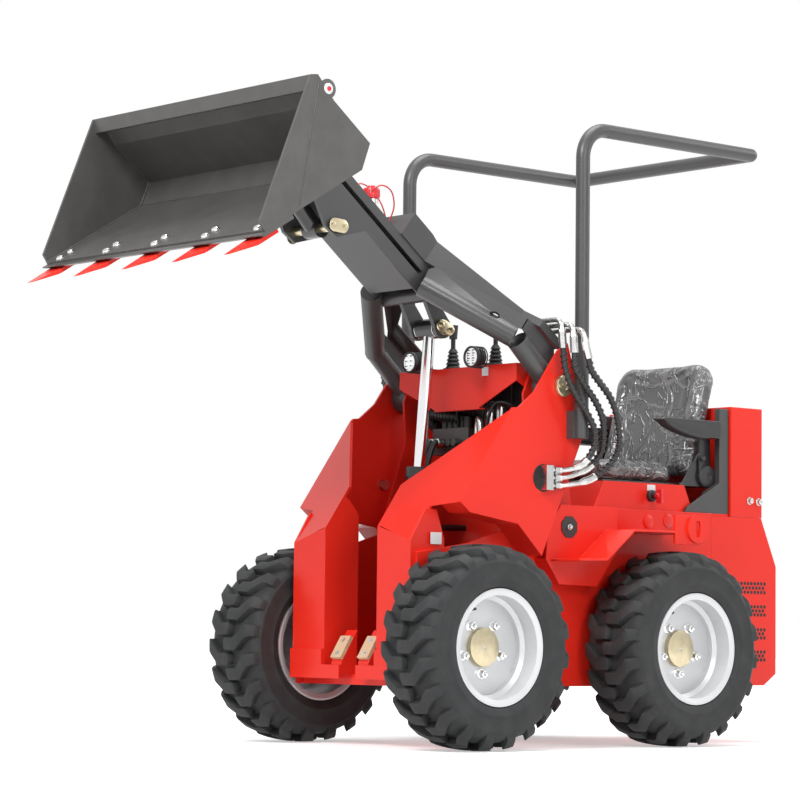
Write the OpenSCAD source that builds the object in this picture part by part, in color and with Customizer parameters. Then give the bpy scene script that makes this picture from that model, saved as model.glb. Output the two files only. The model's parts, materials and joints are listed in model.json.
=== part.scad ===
// Compact skid steer loader with a single wishbone boom, raised, and a toothed bucket.
// Millimetres, +X forward, +Y to the left, +Z up, on the ground under the middle of the part.

/* [Wheels] */
// Distance between the front and rear axles
wheelbase = 800; // [780:5:840]
// Width over the tyres
track_w = 1000; // [990:5:1040]
// Diameter of the tyres over their lugs
tyre_d = 584; // [570:2:596]
// Width of a tyre
tyre_w = 216; // [206:2:222]
// Diameter of the wheel rims over their flanges
rim_d = 332; // [316:2:344]
// Depth of the wheel disc behind the outer tyre face
disc_depth = 92; // [80:2:104]
// Diameter of the axle spindles
spindle_d = 50; // [40:2:56]

/* [Body] */
// Gap between a tyre and the chassis side plate
tyre_gap = 14; // [10:1:18]
// Thickness of the main plates
plate = 8; // [6:1:10]
// Thickness of the folded covers
sheet = 5; // [4:0.5:6]
// Height of the floor pan above the ground
belly_z = 178; // [160:2:200]
// Height of the deck under the seat
deck_z = 712; // [700:2:730]
// Distance of the rear face behind the middle of the wheelbase
rear_reach = 1000; // [980:5:1040]
// Distance of the tower posts' front face ahead of the middle of the wheelbase
post_x = 538; // [530:2:544]
// Clear gap between the tower posts, for the boom
post_gap = 234; // [226:2:244]
// Gap from a boom leg to the outer face of its tower
tower_gap = 14; // [12:1:18]
// Height of the top of the roll-over hoop
hoop_top = 1849; // [1800:5:1900]
// Distance of the hoop posts' middles outside the towers
hoop_stand = 28; // [24:1:34]
// Length of the roll-over hoop
hoop_len = 732; // [680:4:780]
// Diameter of the hoop's tube
hoop_d = 42; // [36:2:46]

/* [Boom] */
// Distance of the boom pivot ahead of the middle of the wheelbase
boom_x = 40; // [34:1:44]
// Height of the boom pivot
boom_z = 1058; // [1050:1:1064]
// Angle of the raised boom above level
boom_angle = 38.4; // [37:0.1:40]
// Angle that the boom swings down to its rest pads
boom_drop = 96; // [95:0.5:97]
// Width of the boom's front box
box_w = 200; // [190:2:206]
// Height of the boom's front box
box_h = 88; // [80:1:92]
// Diameter of the boom's leg tubes
leg_d = 64; // [58:1:66]
// Gap between a boom leg and the chassis side plate
leg_gap = 12; // [10:1:14]
// Diameter of the boom pivot pins
pivot_d = 40; // [34:1:44]
// Height of the cover's front above the box
cover_h = 84; // [70:2:88]

/* [Bucket] */
// Width of the bucket
bucket_w = 1010; // [1002:2:1040]
// Angle of the bucket floor below level
bucket_pitch = 31.2; // [29:0.2:33]
// Height of the bucket pivot above the floor's underside
floor_drop = 120; // [116:1:126]
// Distance of the bucket's heel ahead of the pivot
heel_x = 150; // [146:1:156]
// Length of the bucket floor
floor_len = 389; // [370:1:410]
// Height of the bucket's back
bucket_h = 290; // [280:2:300]
// Thickness of the bucket's side plates
bucket_side = 8; // [6:1:10]
// Number of bucket teeth
tooth_count = 5; // [4:1:6]
// Distance that the teeth stand out past the cutting edge
tooth_out = 92; // [80:2:100]

/* [Cylinders] */
// Distance of the lift cylinder's foot ahead of the middle of the wheelbase
lift_x = 320; // [314:1:326]
// Height of the lift cylinder's foot
lift_z = 330; // [322:1:338]
// Diameter of the lift cylinder's barrel
lift_d = 74; // [66:1:78]
// Diameter of the lift cylinder's rod
lift_rod_d = 36; // [30:1:38]
// Length of the lift cylinder's barrel above its foot
lift_barrel_len = 490; // [480:2:496]
// Diameter of the tilt cylinder's barrel
tilt_d = 54; // [48:1:56]
// Diameter of the tilt cylinder's rod
tilt_rod_d = 30; // [24:1:32]

/* [Hidden] */
$fn = 48;

// Clearances: running fits, parts seated face to face, and stops
fit = 0.05;
seat_gap = 0.3;
stop_gap = 4;

// Paint and material colours
red = [0.85, 0.12, 0.06];
dark = [0.22, 0.22, 0.23];
black = [0.05, 0.05, 0.05];
zinc = [0.72, 0.71, 0.66];
silver = [0.78, 0.79, 0.80];
beige = [0.76, 0.62, 0.47];

// Wheels
tyre_r = tyre_d / 2;
rim_r = rim_d / 2;
bead_r = rim_r - 13;
wheel_y = track_w / 2 - tyre_w / 2;
disc_h = tyre_w / 2 - disc_depth;
flange_h = tyre_w / 2 - 9;
spindle_r = spindle_d / 2;
hub_back = 40;

// Chassis
side_y = track_w / 2 - tyre_w - tyre_gap;
side_in = side_y - plate;
rear_x = -rear_reach;
cover_depth = 143;
cover_x = [rear_x + 67, rear_x + 67 + cover_depth];
guard_x = cover_x[1] + 5;
back_x = guard_x + 133;
skirt_x = -700;
leg_r = leg_d / 2;
leg_y = side_y + leg_gap + leg_r;
tower_y = leg_y + leg_r + tower_gap;
post_y = post_gap / 2;
cross_x = post_x - 46;

// The towers' slanted front facet: its normal and its distance from the origin
facet_n = [0.80, 0.17, 0.57];
facet_len = norm(facet_n);
fold_z = 636;
facet_d = (facet_n[0] * post_x + facet_n[1] * post_y + facet_n[2] * fold_z) / facet_len;
facet_yaw = atan2(facet_n[1], facet_n[0]);
facet_tip = acos(facet_n[2] / facet_len);

// Boom points along (u) and above (w) its underside line, from the pivot
box_y = box_w / 2;
knee_u = 196;
nose_u = 442;
nose_y = box_y + 13;
leg_w = 15.5;
box_u = 430;
end_u = box_u + 20;
floor_end_u = 930;
slot_low = box_h / 2;
slot_h = 16;
boss_r = 50;
boss_in = side_y + 14;
boss_out = leg_y + 30;
lift_u = 267;
cross_u = 376;
cross_w = 52;
cross_r = 24;
ear_in = 46;
lift_half = 40;
eye_half = 20;
hinge_u = 1092.6;
hinge_w = 33;
hinge_r = 17.5;
trunnion_u = 780;
trunnion_w = -63;
trunnion_r = 14;
stub_r = 15;
pivot_r = pivot_d / 2;
cover_front_u = 591;
cover_bend_u = 501;
cover_rear_u = 210;
cover_rear_w = box_h + 26;

// Bucket pivot in the machine's frame, and the bucket's own profile from that pivot
hinge_x = boom_x + hinge_u * cos(boom_angle) - hinge_w * sin(boom_angle);
hinge_z = boom_z + hinge_u * sin(boom_angle) + hinge_w * cos(boom_angle);
wall = 6;
toe_x = heel_x + floor_len;
back_profile = [[toe_x, -floor_drop], [heel_x, -floor_drop], [heel_x - 63, 51 - floor_drop],
    [heel_x - 5, 204 - floor_drop], [heel_x + 11, bucket_h - floor_drop]];
lip_x = heel_x + 34;
lip_z = bucket_h + 10 - floor_drop;
side_profile = concat(back_profile, [[lip_x, lip_z], [toe_x + 2, 32 - floor_drop]]);
bucket_y = bucket_w / 2;
edge_t = 12;
edge_back = 108;
edge_out = 20;
tooth_w = 74;
tooth_t = 12;
tooth_tip_x = toe_x + edge_out + tooth_out;
tooth_tip_z = edge_t / 3 - floor_drop - edge_t;
lug_r = 90;
lug_angle = -65.4;
lug_x = lug_r * cos(lug_angle);
lug_z = lug_r * sin(lug_angle);
lug_in = 22;

// The rod eye of the tilt cylinder, in the boom's frame
lug_swing = -boom_angle - bucket_pitch;
lug_u = hinge_u + lug_r * cos(lug_angle + lug_swing);
lug_w = hinge_w + lug_r * sin(lug_angle + lug_swing);
tilt_len = norm([lug_u - trunnion_u, lug_w - trunnion_w]);
tilt_angle = atan2(lug_w - trunnion_w, lug_u - trunnion_u);
tilt_barrel_len = 195;
tilt_tail = 42;

// The lift cylinder's rod eye, in the machine's frame
eye_x = boom_x + lift_u * cos(boom_angle) - leg_w * sin(boom_angle);
eye_z = boom_z + lift_u * sin(boom_angle) + leg_w * cos(boom_angle);
lift_len = norm([eye_x - lift_x, eye_z - lift_z]);
lift_lean = atan2(eye_x - lift_x, eye_z - lift_z);
lift_eye_r = 30;
lift_foot_r = 32;
lift_pin_r = 16;
foot_in = 44;

// The boom lowered onto its pads
low_angle = boom_angle - boom_drop;
pad_u = 908;
pad_len = 75;
pad_w = 46;
pad_t = 12;
pad_y = 60;

// Foremost point, the tips of the teeth, and the shift that centres the part on the origin
front_x = hinge_x + tooth_tip_x * cos(bucket_pitch) + tooth_tip_z * sin(bucket_pitch);
shift_x = -(front_x + rear_x) / 2;

// A solid rod between two points
module rod(p, q, r) {
    d = q - p;
    translate(p)
        rotate([0, acos(d[2] / norm(d)), atan2(d[1], d[0])])
            cylinder(r = r, h = norm(d));
}

// An outline in X and Z, thick from y0 to y1
module slab(y0, y1, outline) {
    translate([0, y1, 0])
        rotate([90, 0, 0])
            linear_extrude(y1 - y0)
                polygon(outline);
}

// A round bar across the machine
module across(x, z, y0, y1, r) {
    translate([x, y1, z])
        rotate([90, 0, 0])
            cylinder(r = r, h = y1 - y0);
}

module box(x, y, z) {
    translate([x[0], y[0], z[0]])
        cube([x[1] - x[0], y[1] - y[0], z[1] - z[0]]);
}

// Left and right copies
module both() {
    children();
    mirror([0, 1, 0])
        children();
}

module on_boom() {
    translate([boom_x, 0, boom_z])
        rotate([0, -boom_angle, 0])
            children();
}

module on_bucket() {
    translate([hinge_x, 0, hinge_z])
        rotate([0, bucket_pitch, 0])
            children();
}

// Across the wheel, the outer face of the wheel on +Z
module at_wheel(front, left) {
    translate([front * wheelbase / 2, left * wheel_y, tyre_r])
        rotate([-90 * left, 0, 0])
            children();
}

// Point list of a line moved sideways by t, with mitred corners
function unit(v) = v / norm(v);
function side_of(a, b) = [unit(b - a)[1], -unit(b - a)[0]];
function mitre(pts, i, t) =
    let (n = len(pts), a = side_of(pts[max(i - 1, 0)], pts[max(i, 1)]),
        b = side_of(pts[min(i, n - 2)], pts[min(i + 1, n - 1)]))
    pts[i] + t * (a + b) / (1 + a * b);
function band(pts, t) =
    concat(pts, [for (i = [len(pts) - 1 : -1 : 0]) mitre(pts, i, t)]);

// Tubes along route points: rings of sides on a smooth curve, whole or cut from one point to another
function spline(p0, p1, p2, p3, t) =
    0.5 * (2 * p1 + (p2 - p0) * t + (2 * p0 - 5 * p1 + 4 * p2 - p3) * t * t
        + (3 * p1 - p0 - 3 * p2 + p3) * t * t * t);
function curve(pts, steps) =
    let (n = len(pts))
    concat([for (i = [0 : n - 2]) for (k = [0 : steps - 1])
        spline(pts[max(i - 1, 0)], pts[i], pts[i + 1], pts[min(i + 2, n - 1)], k / steps)], [pts[n - 1]]);
function ring(c, d, r, sides) =
    let (a = unit(cross(d, [1, 1, 0])), b = unit(cross(d, a)))
    [for (k = [0 : sides - 1]) c + r * (a * cos(360 * k / sides) + b * sin(360 * k / sides))];
module tube(c, first, last, radii, trim = 0, sides = 8) {
    n = len(c);
    m = last - first;
    run = [for (i = [first : last]) unit(c[min(i + 1, n - 1)] - c[max(i - 1, 0)])];
    middle = [for (i = [0 : m]) c[first + i] + (i == 0 ? trim : i == m ? -trim : 0) * run[i]];
    pts = [for (i = [0 : m]) each ring(middle[i], run[i], radii[i], sides)];
    walls = [for (i = [0 : m - 1]) for (k = [0 : sides - 1])
        [i * sides + k, (i + 1) * sides + k, (i + 1) * sides + (k + 1) % sides, i * sides + (k + 1) % sides]];
    ends = [[for (k = [0 : sides - 1]) k], [for (k = [sides - 1 : -1 : 0]) m * sides + k]];
    polyhedron(pts, concat(walls, ends), convexity = 6);
}
module hose(route, r, steps = 3, sides = 8) {
    c = curve(route, steps);
    tube(c, 0, len(c) - 1, [for (p = c) r], 0, sides);
}

// Side plates with the pivot horns, floor pan, firewall, deck and the lift cylinder's clevis
horn_outline = [[skirt_x, belly_z], [post_x - 18, belly_z], [post_x - 18, 560], [330, 590], [200, 630],
    [148, 784], [boom_x + 62, boom_z - 140], [boom_x + 70, boom_z - 20], [boom_x + 30, boom_z + 68],
    [boom_x - 50, boom_z + 50], [-57, 934], [-90, deck_z], [skirt_x, deck_z]];
firewall_x = 12;
well_x = -200;
well_z = 430;
module main_frame() {
    color(red)
        difference() {
            union() {
                both()
                    slab(side_in, side_y, horn_outline);
                box([skirt_x, cross_x], [-side_in, side_in], [belly_z, belly_z + plate]);
                box([rear_x + 70, skirt_x], [-side_in, side_in], [belly_z, belly_z + plate]);
                box([firewall_x, firewall_x + plate], [-side_in, side_in], [belly_z, 980]);
                box([well_x - plate, well_x], [-side_in, side_in], [belly_z, deck_z]);
                box([cover_x[1] + 4, well_x], [-side_in, side_in], [deck_z - plate, deck_z]);
                box([well_x, firewall_x], [-side_in, side_in], [well_z - plate, well_z]);
                box([440, cross_x], [-side_in, side_in], [belly_z, belly_z + 32]);
                both()
                    slab(foot_in, foot_in + 12, [[lift_x - 60, belly_z], [lift_x + 60, belly_z],
                        [lift_x + 38, lift_z + 38], [lift_x - 38, lift_z + 38]]);
            }
            across(boom_x, boom_z, -tower_y, tower_y, pivot_r + fit);
            across(lift_x, lift_z, -foot_in - 20, foot_in + 20, lift_pin_r + fit);
            for (x = [-1, 1])
                across(x * wheelbase / 2, tyre_r, -side_y - 1, side_y + 1, spindle_r + fit);
        }
}

// Folded towers: post, slanted facet, outer side plate and the gusset over the tyre
outer_outline = [[438, 704], [400, 675], [212, 648], [116, 558], [-57, 934], [-40, 1010],
    [boom_x - 24, boom_z + 128], [boom_x + 16, boom_z + 104], [150, 1034], [212, 986], [236, 984]];
gusset_line = [[438, 704], [400, 675], [212, 648], [116, 558]];
facet_outline = [[post_y, 640], [post_y, 759], [tower_y, 980], [tower_y, 704], [side_in, 692],
    [side_in, 590]];
bulkhead_x = 113;
bulkhead_z = 785;
module facet() {
    intersection() {
        rotate([0, 0, facet_yaw])
            rotate([0, facet_tip, 0])
                translate([-1000, -1000, facet_d - plate])
                    cube([2000, 2000, plate]);
        rotate([90, 0, 90])
            linear_extrude(post_x)
                polygon(facet_outline);
    }
}
module tower() {
    difference() {
        union() {
            facet();
            slab(tower_y - plate, tower_y, outer_outline);
            slab(side_y, tower_y - plate, band(gusset_line, plate));
            slab(side_in - plate, side_in, [[post_x, belly_z + 18], [post_x, 594], [482, 684], [440, 684],
                [410, 600], [410, belly_z + 40], [post_x - 18, belly_z + 40], [post_x - 18, belly_z + 18]]);
            slab(post_y, post_y + plate, [[post_x, belly_z + 18], [post_x, 634], [466, 733], [446, 719], [410, 678],
                [410, belly_z + 40], [post_x - 18, belly_z + 40], [post_x - 18, belly_z + 18]]);
            intersection() {
                box([post_x - plate, post_x], [post_y, side_in], [belly_z + 18, 640]);
                rotate([90, 0, 90])
                    linear_extrude(post_x)
                        polygon([[post_y, 0], [side_in, 0], [side_in, 594], [post_y, 636]]);
            }
        }
        across(boom_x, boom_z, side_y, tower_y + 1, pivot_r + fit);
        across(bulkhead_x, bulkhead_z, side_y, tower_y + 1, 17);
    }
}
module towers() {
    color(red)
        both()
            tower();
}

// Bumper plate across the posts with the two wedges that carry the rest pads
bumper_t = 10;
bumper_low = 196;
bumper_high = 282;
module on_low_boom() {
    translate([boom_x, 0, boom_z])
        rotate([0, -low_angle, 0])
            children();
}
module front_bumper() {
    color(red)
        union() {
            both() {
                slab(pad_y - pad_w / 2, side_in, [[post_x, bumper_low], [post_x + bumper_t, bumper_low],
                    [post_x + bumper_t, bumper_high - 46], [post_x, bumper_high - 46]]);
                slab(post_y + 1, side_in, [[post_x, bumper_low], [post_x + bumper_t, bumper_low],
                    [post_x + bumper_t, bumper_high], [post_x, bumper_high]]);
                difference() {
                    box([post_x - 60, post_x], [pad_y - pad_w / 2, pad_y + pad_w / 2], [belly_z + 32, 400]);
                    on_low_boom()
                        translate([0, -500, -stop_gap - pad_t])
                            cube([2000, 1000, 500]);
                }
            }
        }
}

module boom_rest_pads() {
    color(beige)
        both()
            on_low_boom()
                translate([pad_u - pad_len / 2, pad_y - pad_w / 2, -stop_gap - pad_t])
                    cube([pad_len, pad_w, pad_t]);
}

// Console cowl between the horns: front with cut corners, top and a return lip
cowl_x = 130;
cowl_top = 1127;
cowl_low = 1003;
module console_cowl() {
    y = side_in - seat_gap;
    color(red)
        union() {
            translate([cowl_x - sheet, 0, 0])
                rotate([90, 0, 90])
                    linear_extrude(sheet)
                        polygon([[-y, cowl_top], [y, cowl_top], [y, 1076], [100, cowl_low],
                            [-100, cowl_low], [-y, 1076]]);
            box([0, cowl_x], [-y, y], [cowl_top - sheet, cowl_top]);
            box([cowl_x - 24, cowl_x], [-100, 100], [cowl_low - sheet, cowl_low]);
            both()
                slab(y - sheet, y, [[0, cowl_top], [cowl_x, cowl_top], [cowl_x, 1076], [60, 1040],
                    [0, 1040]]);
        }
}

// Two round work lamps on stalks in front of the cowl
lamp_x = 200;
lamp_y = 139;
lamp_z = 1147;
lamp_r = 31;
module headlamps() {
    color(black)
        both()
            difference() {
                union() {
                    translate([lamp_x, lamp_y, lamp_z])
                        rotate([0, -90, 0])
                            cylinder(r1 = lamp_r, r2 = lamp_r - 8, h = 42);
                    box([cowl_x - 40, lamp_x - 20], [lamp_y - 12, lamp_y + 12], [cowl_top, cowl_top + sheet]);
                }
                translate([lamp_x - 12, lamp_y, lamp_z])
                    rotate([0, 90, 0])
                        cylinder(r = lamp_r - 5, h = 20);
            }
}
module headlamp_lenses() {
    color(silver)
        both()
            translate([lamp_x - 12, lamp_y, lamp_z])
                rotate([0, 90, 0])
                    cylinder(r = lamp_r - 5 - fit, h = 9);
}

// Two drive levers in ribbed bellows behind the cowl
lever_x = 60;
lever_y = 95;
bellows_r = 24;
module lever() {
    translate([lever_x, lever_y, cowl_top]) {
        cylinder(r = bellows_r + 6, h = 8);
        for (k = [0 : 4])
            translate([0, 0, 8 + k * 12])
                cylinder(r1 = bellows_r - k * 2, r2 = bellows_r - 7 - k * 2, h = 12);
        cylinder(r = 7, h = 120);
        translate([0, 0, 98])
            cylinder(r1 = 12, r2 = 15, h = 42);
    }
}
module control_levers() {
    color(black)
        both()
            lever();
}

// Control valve with its banks of ports, on the firewall under the cowl
module valve_block() {
    x = firewall_x + plate;
    color(zinc)
        union() {
            box([x, x + 70], [port_y - 20, 10], [870, 950]);
            for (k = [0 : 4]) {
                translate([x + 35, port_y + k * port_pitch, 950])
                    cylinder(r = 12, h = 36);
                translate([x + 70, port_y + k * port_pitch, 905])
                    rotate([0, 90, 0])
                        cylinder(r = 11, h = 26);
            }
        }
}

engine_len = 430;
engine_h = 454;
module engine_block() {
    x = rear_x + 90;
    y = side_in - 52;
    color(dark)
        box([x, x + engine_len], [-y, y], [belly_z + plate, belly_z + plate + engine_h]);
}

// Black footwell mat and the eight-sided covers on the body sides
module floor_plates() {
    color(black) {
        box([well_x, firewall_x], [-side_in, side_in], [well_z, well_z + 4]);
        both()
            translate([-33, step_y, 647])
                rotate([-90, 0, 0])
                    rotate([0, 0, 22.5])
                        cylinder(r = 34, h = 3, $fn = 8);
    }
}

// Tapered box under the seat
seat_top = deck_z + 84;
seat_box_y = side_in - 12;
seat_x = back_x + 12;
module seat_box() {
    color(red)
        slab(-seat_box_y, seat_box_y, [[seat_x, deck_z], [seat_x + 435, deck_z], [seat_x + 393, seat_top],
            [seat_x + 40, seat_top]]);
}

// Plain solids of the cushion and the leaning back
seat_w = 2 * side_in - 94;
pan_t = 8;
cushion_z = seat_top + pan_t + seat_gap;
module seat_cushion() {
    color(dark)
        slab(-seat_w / 2, seat_w / 2, [[seat_x, cushion_z], [seat_x + 340, cushion_z],
            [seat_x + 358, cushion_z + 14], [seat_x + 352, cushion_z + 50], [seat_x + 320, cushion_z + 64],
            [seat_x, cushion_z + 50]]);
}
back_lean = 14;
back_t = 68;
back_h = 420;
module seat_back() {
    color(dark)
        intersection() {
            translate([back_x, 0, cushion_z])
                rotate([0, -back_lean, 0])
                    slab(-seat_w / 2, seat_w / 2, [[0, -40], [0, back_h - 36], [-14, back_h - 10],
                        [-36, back_h], [-58, back_h - 12], [-back_t, back_h - 36], [-back_t, -40]]);
            box([-1000, 0], [-seat_w, seat_w], [cushion_z, 2000]);
        }
}

// Black seat pan with the side brackets and armrests
arm_x = [back_x - 86, back_x + 172];
arm_z = [seat_top + 150, seat_top + 204];
bracket_y = seat_w / 2 + 3;
pan_y = seat_w / 2 - 15;
module armrests() {
    color(black)
        union() {
            box([back_x + 52, back_x + 360], [-pan_y, pan_y], [seat_top, seat_top + pan_t]);
            box([arm_x[0], back_x + 52], [-bracket_y - 10, bracket_y + 10], [seat_top, seat_top + pan_t]);
            both() {
                slab(bracket_y, bracket_y + 10, [[arm_x[0], seat_top], [back_x + 42, seat_top],
                    [back_x - 38, seat_top + 104], [back_x - 38, arm_z[1]], [arm_x[0], arm_z[1]]]);
                slab(bracket_y + 10, bracket_y + 56, [[arm_x[0], arm_z[0]], [back_x + 12, arm_z[0] + 4],
                    [back_x + 87, arm_z[0] + 18], [back_x + 142, arm_z[0] + 36], [arm_x[1], arm_z[1] - 5],
                    [arm_x[1] - 6, arm_z[1]], [arm_x[0], arm_z[1]]]);
            }
        }
}

// Grey side frames that guard the seat in front of the rear cover
guard_top = deck_z + 330;
module guard_frame() {
    color(dark)
        both() {
            slab(side_in - 22, side_in, [[guard_x, deck_z], [guard_x + 125, deck_z],
                [guard_x + 95, deck_z + 66], [guard_x + 40, deck_z + 96], [guard_x + 40, guard_top],
                [guard_x, guard_top]]);
            slab(side_in - 10, side_in, [[guard_x + 85, deck_z], [guard_x + 195, deck_z],
                [guard_x + 185, deck_z + 16], [guard_x + 95, deck_z + 66], [guard_x + 85, deck_z + 66]]);
        }
}

// Roll-over hoop of bent tube with its foot brackets on the towers
hoop_x = -14;
hoop_y = tower_y + hoop_stand;
hoop_r = hoop_d / 2;
hoop_bend = 90;
hoop_foot = 905;
module rops_hoop() {
    z = hoop_top - hoop_r;
    color(dark)
        union() {
            both() {
                rod([hoop_x, hoop_y, hoop_foot], [hoop_x, hoop_y, z - hoop_bend], hoop_r);
                translate([hoop_x - hoop_bend, hoop_y, z - hoop_bend])
                    rotate([90, 0, 0])
                        rotate_extrude(angle = 90)
                            translate([hoop_bend, 0])
                                circle(r = hoop_r);
                rod([hoop_x - hoop_bend, hoop_y, z], [hoop_x - hoop_len, hoop_y, z], hoop_r);
                translate([hoop_x - hoop_len, hoop_y, z])
                    sphere(r = hoop_r);
                box([hoop_x - 26, hoop_x + 34], [tower_y, hoop_y], [hoop_foot, hoop_foot + 80]);
            }
            rod([hoop_x - hoop_len, -hoop_y, z], [hoop_x - hoop_len, hoop_y, z], hoop_r);
        }
}

// Wrap-round rear skirt: side plates and the folded rear plate
skirt_line = [[rear_x + 55, belly_z], [rear_x, belly_z + 36], [rear_x, 552], [rear_x + 70, deck_z - plate]];
module rear_skirt() {
    color(red)
        union() {
            both()
                slab(side_in, side_y, concat(skirt_line, [[skirt_x, deck_z - plate], [skirt_x, belly_z]]));
            slab(-side_in, side_in, band(skirt_line, sheet));
        }
}

// Upright cover behind the seat, open below
cover_top = deck_z + 338;
module rear_cover() {
    z = deck_z - plate + seat_gap;
    color(red)
        difference() {
            box(cover_x, [-side_y, side_y], [z, cover_top]);
            box([cover_x[0] + sheet, cover_x[1] - sheet], [-side_y + sheet, side_y - sheet],
                [z - 1, cover_top - sheet]);
        }
}

// Stepped body sides, fenders over the rear tyres and slotted tie-down plates
step_y = side_y + 50;
fender_y = side_y + 170;
fender_t = 6;
fender_line = [[40, 545], [-75, 548], [-190, 637], [-480, 637]];
step_line = [[60, 550], [5, 478], [-150, 474], [-235, 580]];
lash_x = -465;
lash_z = 648;
lash_r = 44;
lash_slot_r = 8;
module rear_fender() {
    union() {
        slab(side_y, fender_y, band(fender_line, fender_t));
        slab(step_y - plate, step_y, concat(step_line, [[-235, deck_z], [0, deck_z], [52, 640]]));
        slab(side_y, step_y, band(step_line, fender_t));
        box([-235, -75], [side_y, step_y], [deck_z - plate, deck_z]);
        difference() {
            union() {
                slab(fender_y - plate, fender_y, [[lash_x, lash_z - lash_r], [-360, lash_z - lash_r],
                    [-360, lash_z + lash_r], [lash_x, lash_z + lash_r]]);
                across(lash_x, lash_z, fender_y - plate, fender_y, lash_r);
            }
            across(lash_x, lash_z + 22, 0, 500, lash_slot_r);
            across(lash_x, lash_z + 10, 0, 500, lash_slot_r);
            box([lash_x - lash_slot_r, lash_x + lash_slot_r], [0, 500], [lash_z + 10, lash_z + 22]);
        }
    }
}
module rear_fenders() {
    color(red)
        both()
            rear_fender();
}

// Four axle housings with their spindles
housing_r = 44;
flange_r = 72;
module axle_stubs() {
    hub_y = wheel_y - hub_back;
    color(dark)
        for (x = [-1, 1])
            both()
                union() {
                    across(x * wheelbase / 2, tyre_r, side_in, wheel_y + disc_h + 2, spindle_r);
                    across(x * wheelbase / 2, tyre_r, side_y, hub_y - 6, housing_r);
                    across(x * wheelbase / 2, tyre_r, side_y, side_y + 12, flange_r);
                }
}

// Boom pivot pins with their keeper heads, and the lift cylinder's foot pin
module pivot_pins() {
    color(zinc) {
        both() {
            across(boom_x, boom_z, side_in, tower_y + 8, pivot_r);
            across(boom_x, boom_z, tower_y, tower_y + 8, pivot_r + 12);
        }
        across(lift_x, lift_z, -foot_in - 18, foot_in + 18, lift_pin_r);
    }
}

// Supply hoses that hang from the valve's ports to the firewall
hose_r = 9;
port_pitch = 25;
port_y = -130;
port_x = firewall_x + plate + 96;
module front_hoses() {
    color(black)
        for (k = [0 : 2]) {
            y = port_y + k * port_pitch;
            hose([[port_x + seat_gap, y, 905], [port_x + 8, y, 905], [port_x + 16, y, 905], [152, y, 894],
                [176, y, 830], [188, y, 745], [222, y, 640], [272, y, 540], [302, y, 462],
                [284, y, 408 + 12 * k], [244, y, 424 + 12 * k], [214, y, 510], [180, y, 605], [110, y, 646],
                [60, y, 650], [40, y, 650],
                [firewall_x + plate + seat_gap, y, 650]], hose_r);
        }
}

// Side lines: a steel pipe from the boom, a wrapped hose and a steel pipe into the tower, on one curve each
stub_y = tower_y + 22;
stub_z = [808, 785, 762];
pipe_r = 8;
ferrule_r = 12;
pipe_u = [148, 124, 100];
pipe_w = 128;
pipe_out = [tower_y + 34, tower_y + 64, tower_y + 88];
pipe_back = [8, 6, 22];
pipe_in = leg_y;
function pipe_x(k) = boom_x + pipe_u[k] * cos(boom_angle) - pipe_w * sin(boom_angle);
function pipe_z(k) = boom_z + pipe_u[k] * sin(boom_angle) + pipe_w * cos(boom_angle);
function pipe_route(k) =
    let (x = pipe_x(k), y = pipe_out[k], z = pipe_z(k), d = pipe_back[k])
    [[x, pipe_in, z], [x, y - 56, z], [x, y - 24, z], [x, y - 7, z - 6], [x - d / 8, y, z - 22],
        [x - d / 2, y, z - 52], [x - d, y, z - 84]];
hose_mid = [
    [[65, 396, 1128], [60, 403, 1086], [36, 414, 1029], [-6, 422, 973], [-33, 424, 927], [-36, 420, 881],
        [-18, 409, 842]],
    [[48, 425, 1106], [12, 427, 1058], [-34, 428, 1010], [-62, 427, 965], [-74, 420, 917], [-76, 408, 868],
        [-52, 394, 829]],
    [[6, 448, 1102], [-26, 448, 1070], [-71, 448, 1028], [-102, 446, 977], [-119, 441, 918], [-126, 430, 872],
        [-108, 410, 828], [-66, 394, 794]]];
low_route = [
    [[6, 398, 822], [36, 388, 812]],
    [[-20, 387, 809], [20, 383, 794]],
    [[-30, 387, 779], [12, 383, 769]]];
line_steps = 2;
function line_curve(k) =
    curve(concat(pipe_route(k), hose_mid[k], low_route[k], [[66, stub_y, stub_z[k]], [86, stub_y, stub_z[k]],
        [bulkhead_x, stub_y, stub_z[k]]]), line_steps);
top_cut = 6 * line_steps;
function low_cut(k) = (6 + len(hose_mid[k])) * line_steps;
module hose_bulkheads() {
    color(zinc)
        both()
            union() {
                box([bulkhead_x - 14, bulkhead_x + 14], [tower_y, stub_y + pipe_r],
                    [bulkhead_z - 36, bulkhead_z + 36]);
                across(bulkhead_x, bulkhead_z, tower_y - 20, tower_y, 16);
                for (k = [0 : 2]) {
                    c = line_curve(k);
                    n = len(c) - 1;
                    widths = [for (i = [low_cut(k) : n]) i < low_cut(k) + 3 ? ferrule_r : pipe_r];
                    tube(c, low_cut(k), n, widths, 0, 12);
                }
            }
}
module side_hoses() {
    for (k = [0 : 2])
        tube(line_curve(k), top_cut, low_cut(k), [for (i = [top_cut : low_cut(k)]) hose_r], seat_gap);
}
module side_hoses_left() {
    color(black)
        side_hoses();
}
module side_hoses_right() {
    color(black)
        mirror([0, 1, 0])
            side_hoses();
}

// Battery isolator with its key, on the side of the seat box
module isolator_switch() {
    x = seat_x + 191;
    y = seat_box_y;
    z = deck_z + 45;
    color(black)
        union() {
            across(x, z, y, y + 12, 17);
            across(x, z, y, y + 26, 10);
            box([x - 4, x + 4], [y + 12, y + 40], [z - 19, z + 19]);
        }
}

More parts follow.
